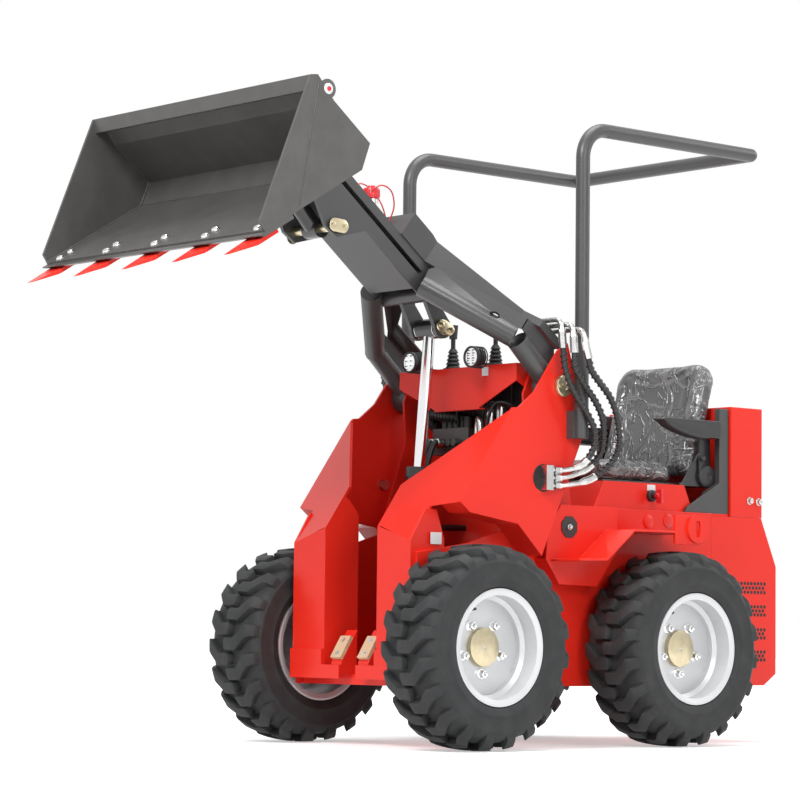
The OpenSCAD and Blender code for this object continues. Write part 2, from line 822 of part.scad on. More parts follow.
// Tyre with a rounded section, and its dished rim with hub and cap
tyre_half = tyre_w / 2;
tyre_side = [[bead_r + seat_gap, flange_h - 8], [rim_r + 1, flange_h - 7], [rim_r + 3, tyre_half - 9],
    [rim_r + 24, tyre_half - 3], [rim_r + 58, tyre_half], [tyre_r - 42, tyre_half - 3],
    [tyre_r - 20, tyre_half - 9], [tyre_r - 7, tyre_half - 20], [tyre_r, tyre_half - 42]];
module tyre() {
    color(black)
        rotate_extrude($fn = 64)
            polygon(concat(tyre_side, [for (i = [len(tyre_side) - 1 : -1 : 0])
                [tyre_side[i][0], -tyre_side[i][1]]]));
}
rim_t = 6;
well_r = bead_r - 12;
cap_r = 54;
module rim() {
    color(silver)
        difference() {
            union() {
                rotate_extrude($fn = 64)
                    polygon([[rim_r, flange_h], [rim_r, flange_h - 6], [bead_r, flange_h - 8],
                        [bead_r, disc_h + 24], [well_r, disc_h + 16], [well_r, -30], [bead_r, -40],
                        [bead_r, 8 - flange_h], [rim_r, 6 - flange_h], [rim_r, -flange_h],
                        [rim_r - 6, -flange_h], [bead_r - rim_t, 4 - flange_h], [bead_r - rim_t, -44],
                        [well_r - rim_t, -34], [well_r - rim_t, disc_h - 4], [0, disc_h - 4], [0, disc_h + 4],
                        [well_r - rim_t, disc_h + 4], [well_r - rim_t, disc_h + 20],
                        [bead_r - rim_t, disc_h + 28], [bead_r - rim_t, flange_h - 4],
                        [rim_r - 6, flange_h]]);
                translate([0, 0, -hub_back])
                    cylinder(r = 66, h = hub_back + disc_h);
                translate([0, 0, disc_h])
                    cylinder(r = cap_r, h = 18);
            }
            translate([0, 0, -hub_back - 1])
                cylinder(r = spindle_r + fit, h = hub_back + 1 + disc_h + 6);
        }
}
module tyre_fl() { at_wheel(1, 1) tyre(); }
module tyre_fr() { at_wheel(1, -1) tyre(); }
module tyre_rl() { at_wheel(-1, 1) tyre(); }
module tyre_rr() { at_wheel(-1, -1) tyre(); }
module rim_fl() { at_wheel(1, 1) rim(); }
module rim_fr() { at_wheel(1, -1) rim(); }
module rim_rl() { at_wheel(-1, 1) rim(); }
module rim_rr() { at_wheel(-1, -1) rim(); }

// Welded boom: wishbone legs, cross tube with the lift ears, slotted front box and the tilt bracket
leg_run = norm([nose_u - knee_u, leg_y - nose_y]);
leg_yaw = atan2(nose_y - leg_y, nose_u - knee_u);
cross_y = leg_y + (nose_y - leg_y) * (cross_u - knee_u) / (nose_u - knee_u);
bracket_t = 12;
web_t = 8;
module boom_side() {
    across(0, 0, boss_in, boss_out, boss_r);
    rod([0, leg_y, 0], [knee_u, leg_y, leg_w], leg_r);
    translate([knee_u, leg_y, leg_w])
        sphere(r = leg_r + 1);
    rod([knee_u, leg_y, leg_w], [nose_u, nose_y, leg_w], leg_r);
    // upright strips along the tops of the tubes
    translate([knee_u, leg_y, 0])
        rotate([0, 0, leg_yaw])
            slab(10, 10 + web_t, [[0, leg_w], [leg_run, leg_w], [leg_run + 6, box_h - 20],
                [leg_run - 10, box_h - 2], [0, box_h - 2]]);
    slab(leg_y + 6, leg_y + 6 + web_t, [[40, 10], [knee_u + 6, leg_w], [knee_u + 6, box_h - 2],
        [70, box_h - 2], [40, 50]]);
    // side of the front box with its long slot, and the tilt bracket below it
    difference() {
        union() {
            slab(box_y - web_t, box_y, [[box_u, 0], [hinge_u, 0], [hinge_u + 20, 8],
                [hinge_u - 10, box_h - 16], [hinge_u - 40, box_h], [box_u, box_h]]);
            across(hinge_u, hinge_w, box_y - web_t, box_y, hinge_w);
            slab(box_y - bracket_t, box_y, [[trunnion_u - 90, 4], [trunnion_u + 160, 4],
                [trunnion_u + 150, -36], [trunnion_u + 30, trunnion_w - 30],
                [trunnion_u - 20, trunnion_w - 26]]);
        }
        box([box_u + 24, hinge_u - 60], [0, 200], [slot_low, slot_low + slot_h]);
    }
    slab(ear_in, ear_in + 14, [[lift_u, leg_w - 32], [cross_u, cross_w - 20], [cross_u, cross_w + 20],
        [lift_u, leg_w + 32]]);
    across(lift_u, leg_w, ear_in, ear_in + 14, 32);
}
module boom_frame() {
    color(dark)
        on_boom()
            difference() {
                union() {
                    both()
                        boom_side();
                    box([box_u, hinge_u - 40], [-box_y + 1, box_y - 1], [box_h - web_t, box_h]);
                    box([end_u, floor_end_u], [-box_y + 1, box_y - 1], [0, web_t]);
                    box([end_u, end_u + web_t], [-box_y + 1, box_y - 1], [0, box_h]);
                    across(cross_u, cross_w, -cross_y, cross_y, cross_r);
                }
                both() {
                    across(0, 0, boss_in - 20, boss_out + 20, pivot_r + fit);
                    // lightening hole in the leg tube
                    translate([270, leg_y + 16 + (nose_y - leg_y) * (270 - knee_u) / (nose_u - knee_u),
                        leg_w + 16])
                        rotate([-70, 0, leg_yaw])
                            cylinder(r = 17, h = 60);
                }
                across(hinge_u, hinge_w, -box_y - 1, box_y + 1, hinge_r + fit);
                across(trunnion_u, trunnion_w, -box_y - 1, box_y + 1, trunnion_r + fit);
                across(lift_u, leg_w, -ear_in - 20, ear_in + 20, stub_r + fit);
            }
}

// Folded cover over the wishbone: side walls, sloping top with two tails, and a front
cover_y = box_y + 5;
cover_out = leg_y + 28;
cover_waist = leg_y - 16;
wall_bend_u = cover_bend_u - 27;
cover_high = box_h + cover_h;
cover_tail_u = 46;
tail_w = 76;
cover_walls = [[cover_front_u, cover_y], [wall_bend_u, cover_y], [cover_rear_u, cover_waist],
    [cover_rear_u - 45, cover_out], [cover_tail_u, cover_out]];
cover_roof = [[cover_front_u, cover_high], [cover_bend_u, cover_high], [cover_rear_u, cover_rear_w],
    [cover_tail_u, cover_rear_w]];
cover_plan = concat(cover_walls, [[cover_tail_u, cover_out - tail_w], [cover_rear_u, cover_out - tail_w],
    [cover_bend_u - 120, 70]]);
module boom_cover() {
    color(dark)
        on_boom()
            union() {
                both()
                    intersection() {
                        translate([0, 0, box_h])
                            linear_extrude(cover_h)
                                polygon(band(cover_walls, -sheet));
                        translate([0, 0, -1])
                            slab(0, tower_y, concat(cover_roof, [[cover_tail_u, 0], [cover_front_u, 0]]));
                    }
                intersection() {
                    slab(-cover_out, cover_out, band(cover_roof, -sheet));
                    linear_extrude(2 * cover_high)
                        polygon(concat(cover_plan, [for (k = [len(cover_plan) - 1 : -1 : 0])
                            [cover_plan[k][0], -cover_plan[k][1]]]));
                }
                box([cover_front_u - sheet, cover_front_u], [-cover_y, cover_y], [box_h, cover_high]);
            }
}

// Tilt trunnion pin and the two stub pins of the lift eye, with keeper plates
module boom_pins() {
    color(zinc)
        on_boom() {
            across(trunnion_u, trunnion_w, -box_y - 8, box_y + 8, trunnion_r);
            both()
                union() {
                    across(lift_u, leg_w, lift_half + seat_gap, ear_in + 22, stub_r);
                    across(lift_u, leg_w, ear_in + 14, ear_in + 20, stub_r + 8);
                }
        }
}

// Auxiliary coupler with its dust cap on the box, and the steel pipes to the side hoses
coupler_u = 660;
module boom_coupler() {
    color(zinc)
        on_boom() {
            union() {
                box([coupler_u - 40, coupler_u + 10], [-16, 16], [box_h, box_h + 20]);
                translate([coupler_u - 20, 0, box_h + 20])
                    rotate([0, 40, 0])
                        cylinder(r = 13, h = 62);
                translate([coupler_u - 20, 0, box_h + 20])
                    rotate([0, 40, 0])
                        translate([0, 0, 50])
                            cylinder(r = 20, h = 40);
            }
            both()
                for (k = [0 : 2])
                    union() {
                        translate([pipe_u[k], pipe_in, cover_rear_w])
                            cylinder(r = pipe_r, h = pipe_w - cover_rear_w);
                        translate([pipe_u[k], pipe_in, pipe_w])
                            sphere(r = pipe_r);
                    }
        }
    color(zinc)
        both()
            for (k = [0 : 2])
                tube(line_curve(k), 0, top_cut,
                    [for (i = [0 : top_cut]) i > top_cut - 4 ? ferrule_r : pipe_r], 0, 12);
}

// Tilt cylinder under the box, on the trunnion pin
module on_tilt() {
    on_boom()
        translate([trunnion_u, 0, trunnion_w])
            rotate([0, -tilt_angle, 0])
                children();
}
module tilt_barrel() {
    color(black)
        on_tilt()
            difference() {
                union() {
                    across(0, 0, -30, 30, 28);
                    rod([10, 0, 0], [tilt_barrel_len, 0, 0], tilt_d / 2);
                }
                across(0, 0, -31, 31, trunnion_r + fit);
                rod([28, 0, 0], [tilt_barrel_len + 1, 0, 0], tilt_rod_d / 2 + fit);
            }
}
module tilt_rod() {
    color(silver)
        on_tilt()
            union() {
                rod([tilt_tail, 0, 0], [tilt_len, 0, 0], tilt_rod_d / 2);
                across(tilt_len, 0, -eye_half, eye_half, 18);
            }
}

// Floating pin of the bucket, with its heads outside the hitch ears
hitch_in = box_y + 6;
hitch_t = 12;
module bucket_pin() {
    y = hitch_in + hitch_t;
    color(zinc)
        translate([hinge_x, 0, hinge_z])
            union() {
                across(0, 0, -y - 8, y + 8, hinge_r);
                both()
                    across(0, 0, y + seat_gap, y + 8, hinge_r + 8);
            }
}

// Folded bucket with side plates, top lip and the hitch ears on its back
lip_t = 38;
hitch_r = 34;
module hitch_side() {
    slab(hitch_in, hitch_in + hitch_t, [[0, hitch_r], [heel_x - 12, 180 - floor_drop],
        [heel_x - 59, 55 - floor_drop], [0, -hitch_r]]);
    across(0, 0, hitch_in, hitch_in + hitch_t, hitch_r);
    slab(lug_in, lug_in + 10, [[lug_x, lug_z + 26], [heel_x - 62, 68 - floor_drop],
        [heel_x - 60, 51 - floor_drop], [heel_x - 23, 21 - floor_drop], [lug_x, lug_z - 26]]);
    across(lug_x, lug_z, lug_in, lug_in + 10, 26);
    across(lug_x, lug_z, eye_half + seat_gap, lug_in + 18, 12);
}
module bucket_shell() {
    color(dark)
        on_bucket()
            difference() {
                union() {
                    slab(-bucket_y + bucket_side, bucket_y - bucket_side, band(back_profile, wall));
                    slab(-bucket_y + bucket_side, bucket_y - bucket_side,
                        [[heel_x + 11, bucket_h - floor_drop], [lip_x, lip_z], [lip_x + 14, lip_z - lip_t],
                            [heel_x + 22, bucket_h - floor_drop - lip_t]]);
                    both() {
                        slab(bucket_y - bucket_side, bucket_y, side_profile);
                        hitch_side();
                    }
                }
                across(0, 0, -bucket_y, bucket_y, hinge_r + fit);
            }
}

// Bolt-on cutting edge under the floor's front
module cutting_edge() {
    z = -floor_drop;
    color(dark)
        on_bucket()
            slab(-bucket_y, bucket_y, [[toe_x - edge_back, z - edge_t], [toe_x + 4, z - edge_t],
                [toe_x + edge_out, z - 3], [toe_x + edge_out, z], [toe_x - edge_back, z]]);
}

// Flat pointed teeth under the cutting edge
module tooth() {
    z = -floor_drop - edge_t;
    intersection() {
        slab(-tooth_w, tooth_w, [[toe_x - 50, z - tooth_t], [toe_x + edge_out + 10, z - tooth_t],
            [tooth_tip_x, tooth_tip_z], [toe_x + edge_out + 4, z], [toe_x - 50, z]]);
        translate([0, 0, z - 50])
            linear_extrude(100)
                polygon([[toe_x - 50, -tooth_w / 2], [toe_x + edge_out, -tooth_w / 2], [tooth_tip_x, -14],
                    [tooth_tip_x, 14], [toe_x + edge_out, tooth_w / 2], [toe_x - 50, tooth_w / 2]]);
    }
}
module bucket_teeth() {
    pitch = (bucket_w - tooth_w - 20) / (tooth_count - 1);
    color(red)
        on_bucket()
            for (k = [0 : tooth_count - 1])
                translate([0, (k - (tooth_count - 1) / 2) * pitch, 0])
                    tooth();
}

// Lift cylinder: barrel on its foot pin, and the chromed rod with its eye
module on_lift() {
    translate([lift_x, 0, lift_z])
        rotate([0, lift_lean, 0])
            children();
}
rod_tail = 432;
module lift_barrel() {
    color(black)
        on_lift()
            difference() {
                union() {
                    across(0, 0, -foot_in + 2, foot_in - 2, lift_foot_r);
                    translate([0, 0, 12])
                        cylinder(r = lift_d / 2, h = lift_barrel_len - 12);
                    translate([0, 0, lift_barrel_len - 30])
                        cylinder(r = lift_d / 2 + 4, h = 30);
                }
                across(0, 0, -foot_in, foot_in, lift_pin_r + fit);
                translate([0, 0, 44])
                    cylinder(r = lift_rod_d / 2 + fit, h = lift_barrel_len);
            }
}
module lift_rod() {
    color(silver)
        on_lift()
            union() {
                translate([0, 0, rod_tail])
                    cylinder(r = lift_rod_d / 2, h = lift_len - rod_tail);
                across(0, lift_len, -lift_half, lift_half, lift_eye_r);
            }
}

// The whole part stands with the middle of its length at the origin
module placed() {
    translate([shift_x, 0, 0])
        children();
}

placed() main_frame();
placed() towers();
placed() front_bumper();
placed() boom_rest_pads();
placed() console_cowl();
placed() headlamps();
placed() headlamp_lenses();
placed() control_levers();
placed() valve_block();
placed() engine_block();
placed() floor_plates();
placed() seat_box();
placed() seat_cushion();
placed() seat_back();
placed() armrests();
placed() guard_frame();
placed() rops_hoop();
placed() rear_skirt();
placed() rear_cover();
placed() rear_fenders();
placed() axle_stubs();
placed() pivot_pins();
placed() hose_bulkheads();
placed() front_hoses();
placed() side_hoses_left();
placed() side_hoses_right();
placed() isolator_switch();
placed() tyre_fl();
placed() tyre_fr();
placed() tyre_rl();
placed() tyre_rr();
placed() rim_fl();
placed() rim_fr();
placed() rim_rl();
placed() rim_rr();
placed() boom_frame();
placed() boom_cover();
placed() boom_pins();
placed() boom_coupler();
placed() tilt_barrel();
placed() bucket_pin();
placed() bucket_shell();
placed() cutting_edge();
placed() bucket_teeth();
placed() lift_barrel();
placed() lift_rod();
placed() tilt_rod();
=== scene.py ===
import json
import math
import bmesh
import bpy
from mathutils import Matrix, Vector

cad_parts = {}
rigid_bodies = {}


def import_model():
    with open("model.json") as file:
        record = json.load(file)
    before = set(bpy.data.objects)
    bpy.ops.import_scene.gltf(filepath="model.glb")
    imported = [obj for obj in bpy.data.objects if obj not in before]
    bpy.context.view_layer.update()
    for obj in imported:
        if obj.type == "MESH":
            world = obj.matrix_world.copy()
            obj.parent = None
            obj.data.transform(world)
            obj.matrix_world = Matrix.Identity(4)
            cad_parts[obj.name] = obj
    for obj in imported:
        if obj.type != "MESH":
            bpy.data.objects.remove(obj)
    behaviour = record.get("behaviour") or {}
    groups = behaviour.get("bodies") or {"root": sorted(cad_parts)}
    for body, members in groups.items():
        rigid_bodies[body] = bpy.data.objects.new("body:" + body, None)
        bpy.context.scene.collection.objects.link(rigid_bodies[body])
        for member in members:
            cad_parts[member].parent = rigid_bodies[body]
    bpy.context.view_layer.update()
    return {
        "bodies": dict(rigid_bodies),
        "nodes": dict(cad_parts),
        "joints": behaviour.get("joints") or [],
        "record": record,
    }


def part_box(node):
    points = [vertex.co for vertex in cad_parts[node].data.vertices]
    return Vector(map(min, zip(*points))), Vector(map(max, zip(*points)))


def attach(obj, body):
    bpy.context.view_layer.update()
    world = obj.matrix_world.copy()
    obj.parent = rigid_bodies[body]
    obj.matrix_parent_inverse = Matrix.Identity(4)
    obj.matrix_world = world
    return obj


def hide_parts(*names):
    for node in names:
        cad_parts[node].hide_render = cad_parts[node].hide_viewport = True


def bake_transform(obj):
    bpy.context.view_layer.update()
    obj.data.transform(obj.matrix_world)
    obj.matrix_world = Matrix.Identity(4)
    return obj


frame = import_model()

nodes = frame["nodes"]
scene = bpy.context.scene
scene.view_settings.view_transform = "Standard"
print("frame loaded:", len(nodes), "nodes")

# places are given in millimetres from the ground under the middle of the wheelbase
wheelLow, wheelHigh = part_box("tyre_fl")
machine = {
    "shiftX": (wheelLow[0] + wheelHigh[0]) / 2 - 0.4,
    "pivot": (40, 1058),
    "boomAngle": 38.4,
    "bucketPitch": 31.2,
    "hinge": (1092.6, 33),
}
millimetre = Matrix.Scale(0.001, 4)


def at(x, y, z):
    return Vector((x / 1000 + machine["shiftX"], y / 1000, z / 1000))


def tilted(x, z, angle):
    return Matrix.Translation(at(x, 0, z)) @ Matrix.Rotation(math.radians(angle), 4, "Y") @ millimetre


# matrices from a group's own millimetres to the row frame
machineFrame = Matrix.Translation(at(0, 0, 0)) @ millimetre
boomFrame = tilted(*machine["pivot"], -machine["boomAngle"])
hingePoint = boomFrame @ Vector((machine["hinge"][0], 0, machine["hinge"][1]))
bucketFrame = (Matrix.Translation(hingePoint)
               @ Matrix.Rotation(math.radians(machine["bucketPitch"]), 4, "Y") @ millimetre)


wheels = (("fl", 1, 1), ("fr", 1, -1), ("rl", -1, 1), ("rr", -1, -1))  # name, front or rear, left or right
wheelAt = (400, 392, 292)


def wheelFrame(front, left):
    x, y, z = wheelAt
    return Matrix.Translation(at(x * front, y * left, z)) @ millimetre


def linked(name, data):
    obj = bpy.data.objects.new(name, data)
    scene.collection.objects.link(obj)
    return obj


def aimed(place, target):
    aim = at(*target) - at(*place)
    return Matrix.Translation(at(*place)) @ aim.to_track_quat("-Z", "Y").to_matrix().to_4x4()


# camera at the photograph's place
view = {"place": (6142, 6634, 330), "target": (355.6, 0, 1016.5), "roll": 0.65, "lens": 134.4}


def setCamera():
    cam = bpy.data.cameras.new("camera")
    cam.lens = view["lens"]
    cam.sensor_width = 36
    cam.clip_end = 100
    obj = linked("camera", cam)
    roll = Matrix.Rotation(math.radians(view["roll"]), 4, "Z")
    obj.matrix_world = aimed(view["place"], view["target"]) @ roll
    scene.camera = obj


# shader helpers
def addNode(tree, kind, **values):
    node = tree.nodes.new(kind)
    for key, value in values.items():
        socket = node.inputs.get(key.replace("_", " "))
        if socket is None:
            setattr(node, key, value)
        else:
            socket.default_value = value
    return node


def newGroup(name, inputs, outputs):
    group = bpy.data.node_groups.new(name, "ShaderNodeTree")
    for label, kind, value in inputs:
        socket = group.interface.new_socket(label, in_out="INPUT", socket_type=kind)
        socket.default_value = value
    for label, kind in outputs:
        group.interface.new_socket(label, in_out="OUTPUT", socket_type=kind)
    return group, group.nodes.new("NodeGroupInput"), group.nodes.new("NodeGroupOutput")


def noiseAt(tree, coords, scale, detail=3.0, roughness=0.55):
    noise = addNode(tree, "ShaderNodeTexNoise", Scale=scale, Detail=detail, Roughness=roughness)
    tree.links.new(coords, noise.inputs["Vector"])
    return noise.outputs["Fac"]


# a Math node whose inputs are numbers or other nodes' outputs
def mathNode(tree, operation, *inputs, clamp=False):
    node = addNode(tree, "ShaderNodeMath", operation=operation, use_clamp=clamp)
    for socket, value in zip(node.inputs, inputs):
        if isinstance(value, (int, float)):
            socket.default_value = value
        else:
            tree.links.new(value, socket)
    return node.outputs[0]


def spread(tree, value, low, high, fromLow=0.3, fromHigh=0.7):
    node = addNode(tree, "ShaderNodeMapRange")
    for key, number in (("From Min", fromLow), ("From Max", fromHigh), ("To Min", low), ("To Max", high)):
        node.inputs[key].default_value = number
    tree.links.new(value, node.inputs["Value"])
    return node.outputs["Result"]


def newMaterial(name):
    mat = bpy.data.materials.new(name)
    mat.use_nodes = True
    return mat, mat.node_tree, mat.node_tree.nodes["Principled BSDF"]


# tone: slow change of shade over a surface, with grain for bump and roughness
def makeToneGroup():
    number, colour = "NodeSocketFloat", "NodeSocketColor"
    group, source, result = newGroup("toneAndGrain", [
        ("Colour", colour, (0.5, 0.5, 0.5, 1)), ("Variation", number, 0.1), ("Tone Scale", number, 4.0),
        ("Grain Scale", number, 300.0), ("Roughness", number, 0.4), ("Roughness Spread", number, 0.08)],
        [("Colour", colour), ("Roughness", number), ("Grain", number)])
    links = group.links
    coords = group.nodes.new("ShaderNodeTexCoord").outputs["Object"]
    tone = addNode(group, "ShaderNodeTexNoise", Detail=4.0)
    links.new(coords, tone.inputs["Vector"])
    links.new(source.outputs["Tone Scale"], tone.inputs["Scale"])
    grain = addNode(group, "ShaderNodeTexNoise", Detail=2.0)
    links.new(coords, grain.inputs["Vector"])
    links.new(source.outputs["Grain Scale"], grain.inputs["Scale"])
    swing = mathNode(group, "SUBTRACT", tone.outputs["Fac"], 0.5)
    amount = mathNode(group, "MULTIPLY_ADD", swing, source.outputs["Variation"], 1.0)
    shade = addNode(group, "ShaderNodeHueSaturation")
    links.new(amount, shade.inputs["Value"])
    links.new(source.outputs["Colour"], shade.inputs["Color"])
    rough = mathNode(group, "MULTIPLY_ADD", swing, source.outputs["Roughness Spread"],
                     source.outputs["Roughness"])
    links.new(shade.outputs["Color"], result.inputs["Colour"])
    links.new(rough, result.inputs["Roughness"])
    links.new(grain.outputs["Fac"], result.inputs["Grain"])
    return group


# dust: pale film that settles in patches
def makeDustGroup():
    number, colour = "NodeSocketFloat", "NodeSocketColor"
    group, source, result = newGroup("settledDust", [
        ("Colour", colour, (0.1, 0.1, 0.1, 1)), ("Dust", colour, (0.35, 0.33, 0.3, 1)),
        ("Amount", number, 0.3), ("Scale", number, 14.0)], [("Colour", colour)])
    links = group.links
    coords = group.nodes.new("ShaderNodeTexCoord").outputs["Object"]
    patch = addNode(group, "ShaderNodeTexNoise", Detail=6.0, Roughness=0.65)
    links.new(coords, patch.inputs["Vector"])
    links.new(source.outputs["Scale"], patch.inputs["Scale"])
    patches = spread(group, patch.outputs["Fac"], 0.0, 1.0, 0.42, 0.75)
    mask = mathNode(group, "MULTIPLY", patches, source.outputs["Amount"], clamp=True)
    mix = addNode(group, "ShaderNodeMix", data_type="RGBA")
    links.new(mask, mix.inputs[0])
    links.new(source.outputs["Colour"], mix.inputs[6])
    links.new(source.outputs["Dust"], mix.inputs[7])
    links.new(mix.outputs[2], result.inputs["Colour"])
    return group


toneGroup = makeToneGroup()
dustGroup = makeDustGroup()


def placeGroup(tree, group, **values):
    node = addNode(tree, "ShaderNodeGroup", node_tree=group)
    for key, value in values.items():
        node.inputs[key.replace("_", " ")].default_value = value
    return node


finishes = {
    "redPaint": dict(colour=(0.78, 0.024, 0.012), rough=0.36, coat=0.16, specular=0.28, variation=0.12,
                     toneScale=3, grain=260, bump=0.02),
    "greyPaint": dict(colour=(0.046, 0.046, 0.047), rough=0.42, coat=0.1, variation=0.35, toneScale=6,
                      grain=420, bump=0.05),
    "bucketPaint": dict(colour=(0.070, 0.068, 0.065), rough=0.45, coat=0.08, variation=0.4, toneScale=7,
                        grain=420, bump=0.05, dust=0.16, dustColour=(0.16, 0.155, 0.15)),
    "blackPaint": dict(colour=(0.014, 0.014, 0.015), rough=0.32, coat=0.3, variation=0.3, toneScale=8,
                       grain=400, bump=0.03),
    "blackPlastic": dict(colour=(0.018, 0.018, 0.019), rough=0.55, variation=0.3, toneScale=12, grain=900,
                         bump=0.12),
    "zincPlate": dict(colour=(0.55, 0.55, 0.54), rough=0.24, metal=1.0, variation=0.35, toneScale=30,
                      grain=700, bump=0.05),
    "goldZinc": dict(colour=(0.56, 0.49, 0.33), rough=0.3, metal=1.0, variation=0.5, toneScale=40, grain=700,
                     bump=0.06),
    "castIron": dict(colour=(0.085, 0.085, 0.083), rough=0.5, metal=0.6, variation=0.6, toneScale=25,
                     grain=300, bump=0.3),
    "boltZinc": dict(colour=(0.58, 0.58, 0.57), rough=0.28, metal=1.0, variation=0.3, toneScale=60,
                     grain=900, bump=0.04),
    "wheelSilver": dict(colour=(0.62, 0.63, 0.64), rough=0.36, metal=0.35, coat=0.2, variation=0.12,
                        toneScale=9, grain=1200, bump=0.02),
    "rodChrome": dict(colour=(0.86, 0.86, 0.87), rough=0.07, metal=1.0, variation=0.06, toneScale=12,
                      grain=1500, bump=0.004),
    "tyreRubber": dict(colour=(0.020, 0.021, 0.022), rough=0.66, specular=0.35, variation=0.4, toneScale=16,
                       grain=700, bump=0.15, dust=0.3, dustColour=(0.075, 0.076, 0.076)),
    "hoseRubber": dict(colour=(0.012, 0.012, 0.013), rough=0.45, variation=0.3, toneScale=30, grain=900,
                       bump=0.06),
    "padNylon": dict(colour=(0.62, 0.43, 0.27), rough=0.55, variation=0.25, toneScale=40, grain=500, bump=0.08),
    "engineIron": dict(colour=(0.06, 0.06, 0.062), rough=0.6, variation=0.5, toneScale=20, grain=500, bump=0.2),
    "capRed": dict(colour=(0.66, 0.012, 0.02), rough=0.35, coat=0.2, variation=0.1, toneScale=20, grain=800,
                   bump=0.03),
    "lampMirror": dict(colour=(0.9, 0.91, 0.92), rough=0.16, metal=1.0, variation=0.2, toneScale=50,
                       grain=900, bump=0.02),
    # flat black for the vent holes and bulkhead openings: painted shade inside them
    "holeShadeBlack": dict(colour=(0.010, 0.008, 0.008), rough=0.7, variation=0.2, toneScale=30, grain=900,
                      bump=0.02),
    "labelWhite": dict(colour=(0.78, 0.79, 0.80), rough=0.4, variation=0.05, toneScale=40, grain=900,
                       bump=0.01),
}


def makeFinish(name):
    look = finishes[name]
    mat, tree, shader = newMaterial(name)
    tone = placeGroup(tree, toneGroup, Colour=(*look["colour"], 1), Variation=look["variation"],
                      Tone_Scale=look["toneScale"], Grain_Scale=look["grain"], Roughness=look["rough"])
    colour = tone.outputs["Colour"]
    if look.get("dust"):
        dust = placeGroup(tree, dustGroup, Dust=(*look["dustColour"], 1), Amount=look["dust"])
        tree.links.new(colour, dust.inputs["Colour"])
        colour = dust.outputs["Colour"]
    tree.links.new(colour, shader.inputs["Base Color"])
    tree.links.new(tone.outputs["Roughness"], shader.inputs["Roughness"])
    bump = addNode(tree, "ShaderNodeBump", Strength=look["bump"], Distance=0.002)
    tree.links.new(tone.outputs["Grain"], bump.inputs["Height"])
    tree.links.new(bump.outputs["Normal"], shader.inputs["Normal"])
    shader.inputs["Metallic"].default_value = look.get("metal", 0.0)
    shader.inputs["Coat Weight"].default_value = look.get("coat", 0.0)
    shader.inputs["Coat Roughness"].default_value = 0.12
    shader.inputs["Specular IOR Level"].default_value = look.get("specular", 0.5)
    mat.diffuse_color = (*look["colour"], 1)
    return mat


paints = {name: makeFinish(name) for name in finishes}
print("finishes made:", len(paints))


# clear lamp lens
def makeLensGlass():
    mat, tree, shader = newMaterial("lensGlass")
    shader.inputs["Base Color"].default_value = (0.95, 0.97, 1, 1)
    shader.inputs["Transmission Weight"].default_value = 1.0
    shader.inputs["IOR"].default_value = 1.2
    coords = tree.nodes.new("ShaderNodeTexCoord").outputs["Object"]
    ripple = noiseAt(tree, coords, 120)
    tree.links.new(spread(tree, ripple, 0.02, 0.1), shader.inputs["Roughness"])
    return mat


paints["lensGlass"] = makeLensGlass()


# turn, stretch and scale of each long fold
filmFolds = ((0.55, (1.0, 2.6, 0.7), 5.5), (-0.5, (1.0, 0.8, 2.8), 6.5), (1.1, (1.0, 3.0, 0.9), 11.0))


# dark vinyl seen through creased clear film: long folds, fine crinkles, and a colour lighter on the fold
# ridges, partly the film's thin haze and partly painted highlight of the creases
def makeFilmedVinyl():
    mat, tree, shader = newMaterial("filmedVinyl")
    coords = tree.nodes.new("ShaderNodeTexCoord").outputs["Object"]
    drift = addNode(tree, "ShaderNodeTexNoise", Scale=5.0, Detail=2.0)
    tree.links.new(coords, drift.inputs["Vector"])
    warp = addNode(tree, "ShaderNodeMix", data_type="VECTOR")
    warp.inputs[0].default_value = 0.10
    tree.links.new(coords, warp.inputs[4])
    tree.links.new(drift.outputs["Color"], warp.inputs[5])
    folds = []
    for turnBy, stretch, scale in filmFolds:
        lay = addNode(tree, "ShaderNodeMapping")
        lay.inputs["Rotation"].default_value = (turnBy, 0.2, 0.1)
        lay.inputs["Scale"].default_value = stretch
        tree.links.new(warp.outputs[1], lay.inputs["Vector"])
        swell = noiseAt(tree, lay.outputs["Vector"], scale, 2, 0.5)
        size = mathNode(tree, "ABSOLUTE", mathNode(tree, "SUBTRACT", swell, 0.5))
        folds.append(spread(tree, size, 1.0, 0.0, 0.0, 0.07))
    crinkle = noiseAt(tree, warp.outputs[1], 38, 3, 0.6)
    height = 0.5  # level between the folds
    for fold in folds:
        height = mathNode(tree, "MAXIMUM", fold, height)
    total = mathNode(tree, "MULTIPLY_ADD", crinkle, 0.35, height)
    # lighter base colour on the fold ridges: partly haze of the folded film, partly painted highlight
    hazeAndFoldHighlight = addNode(tree, "ShaderNodeMix", data_type="RGBA")
    tree.links.new(spread(tree, height, 0.0, 1.0, 0.55, 1.0), hazeAndFoldHighlight.inputs[0])
    hazeAndFoldHighlight.inputs[6].default_value = (0.070, 0.071, 0.073, 1)
    hazeAndFoldHighlight.inputs[7].default_value = (0.15, 0.152, 0.155, 1)
    tree.links.new(hazeAndFoldHighlight.outputs[2], shader.inputs["Base Color"])
    tree.links.new(spread(tree, crinkle, 0.10, 0.26), shader.inputs["Roughness"])
    bump = addNode(tree, "ShaderNodeBump", Strength=0.8, Distance=0.007)
    tree.links.new(total, bump.inputs["Height"])
    tree.links.new(bump.outputs["Normal"], shader.inputs["Normal"])
    shader.inputs["Specular IOR Level"].default_value = 0.8
    return mat


paints["filmedVinyl"] = makeFilmedVinyl()

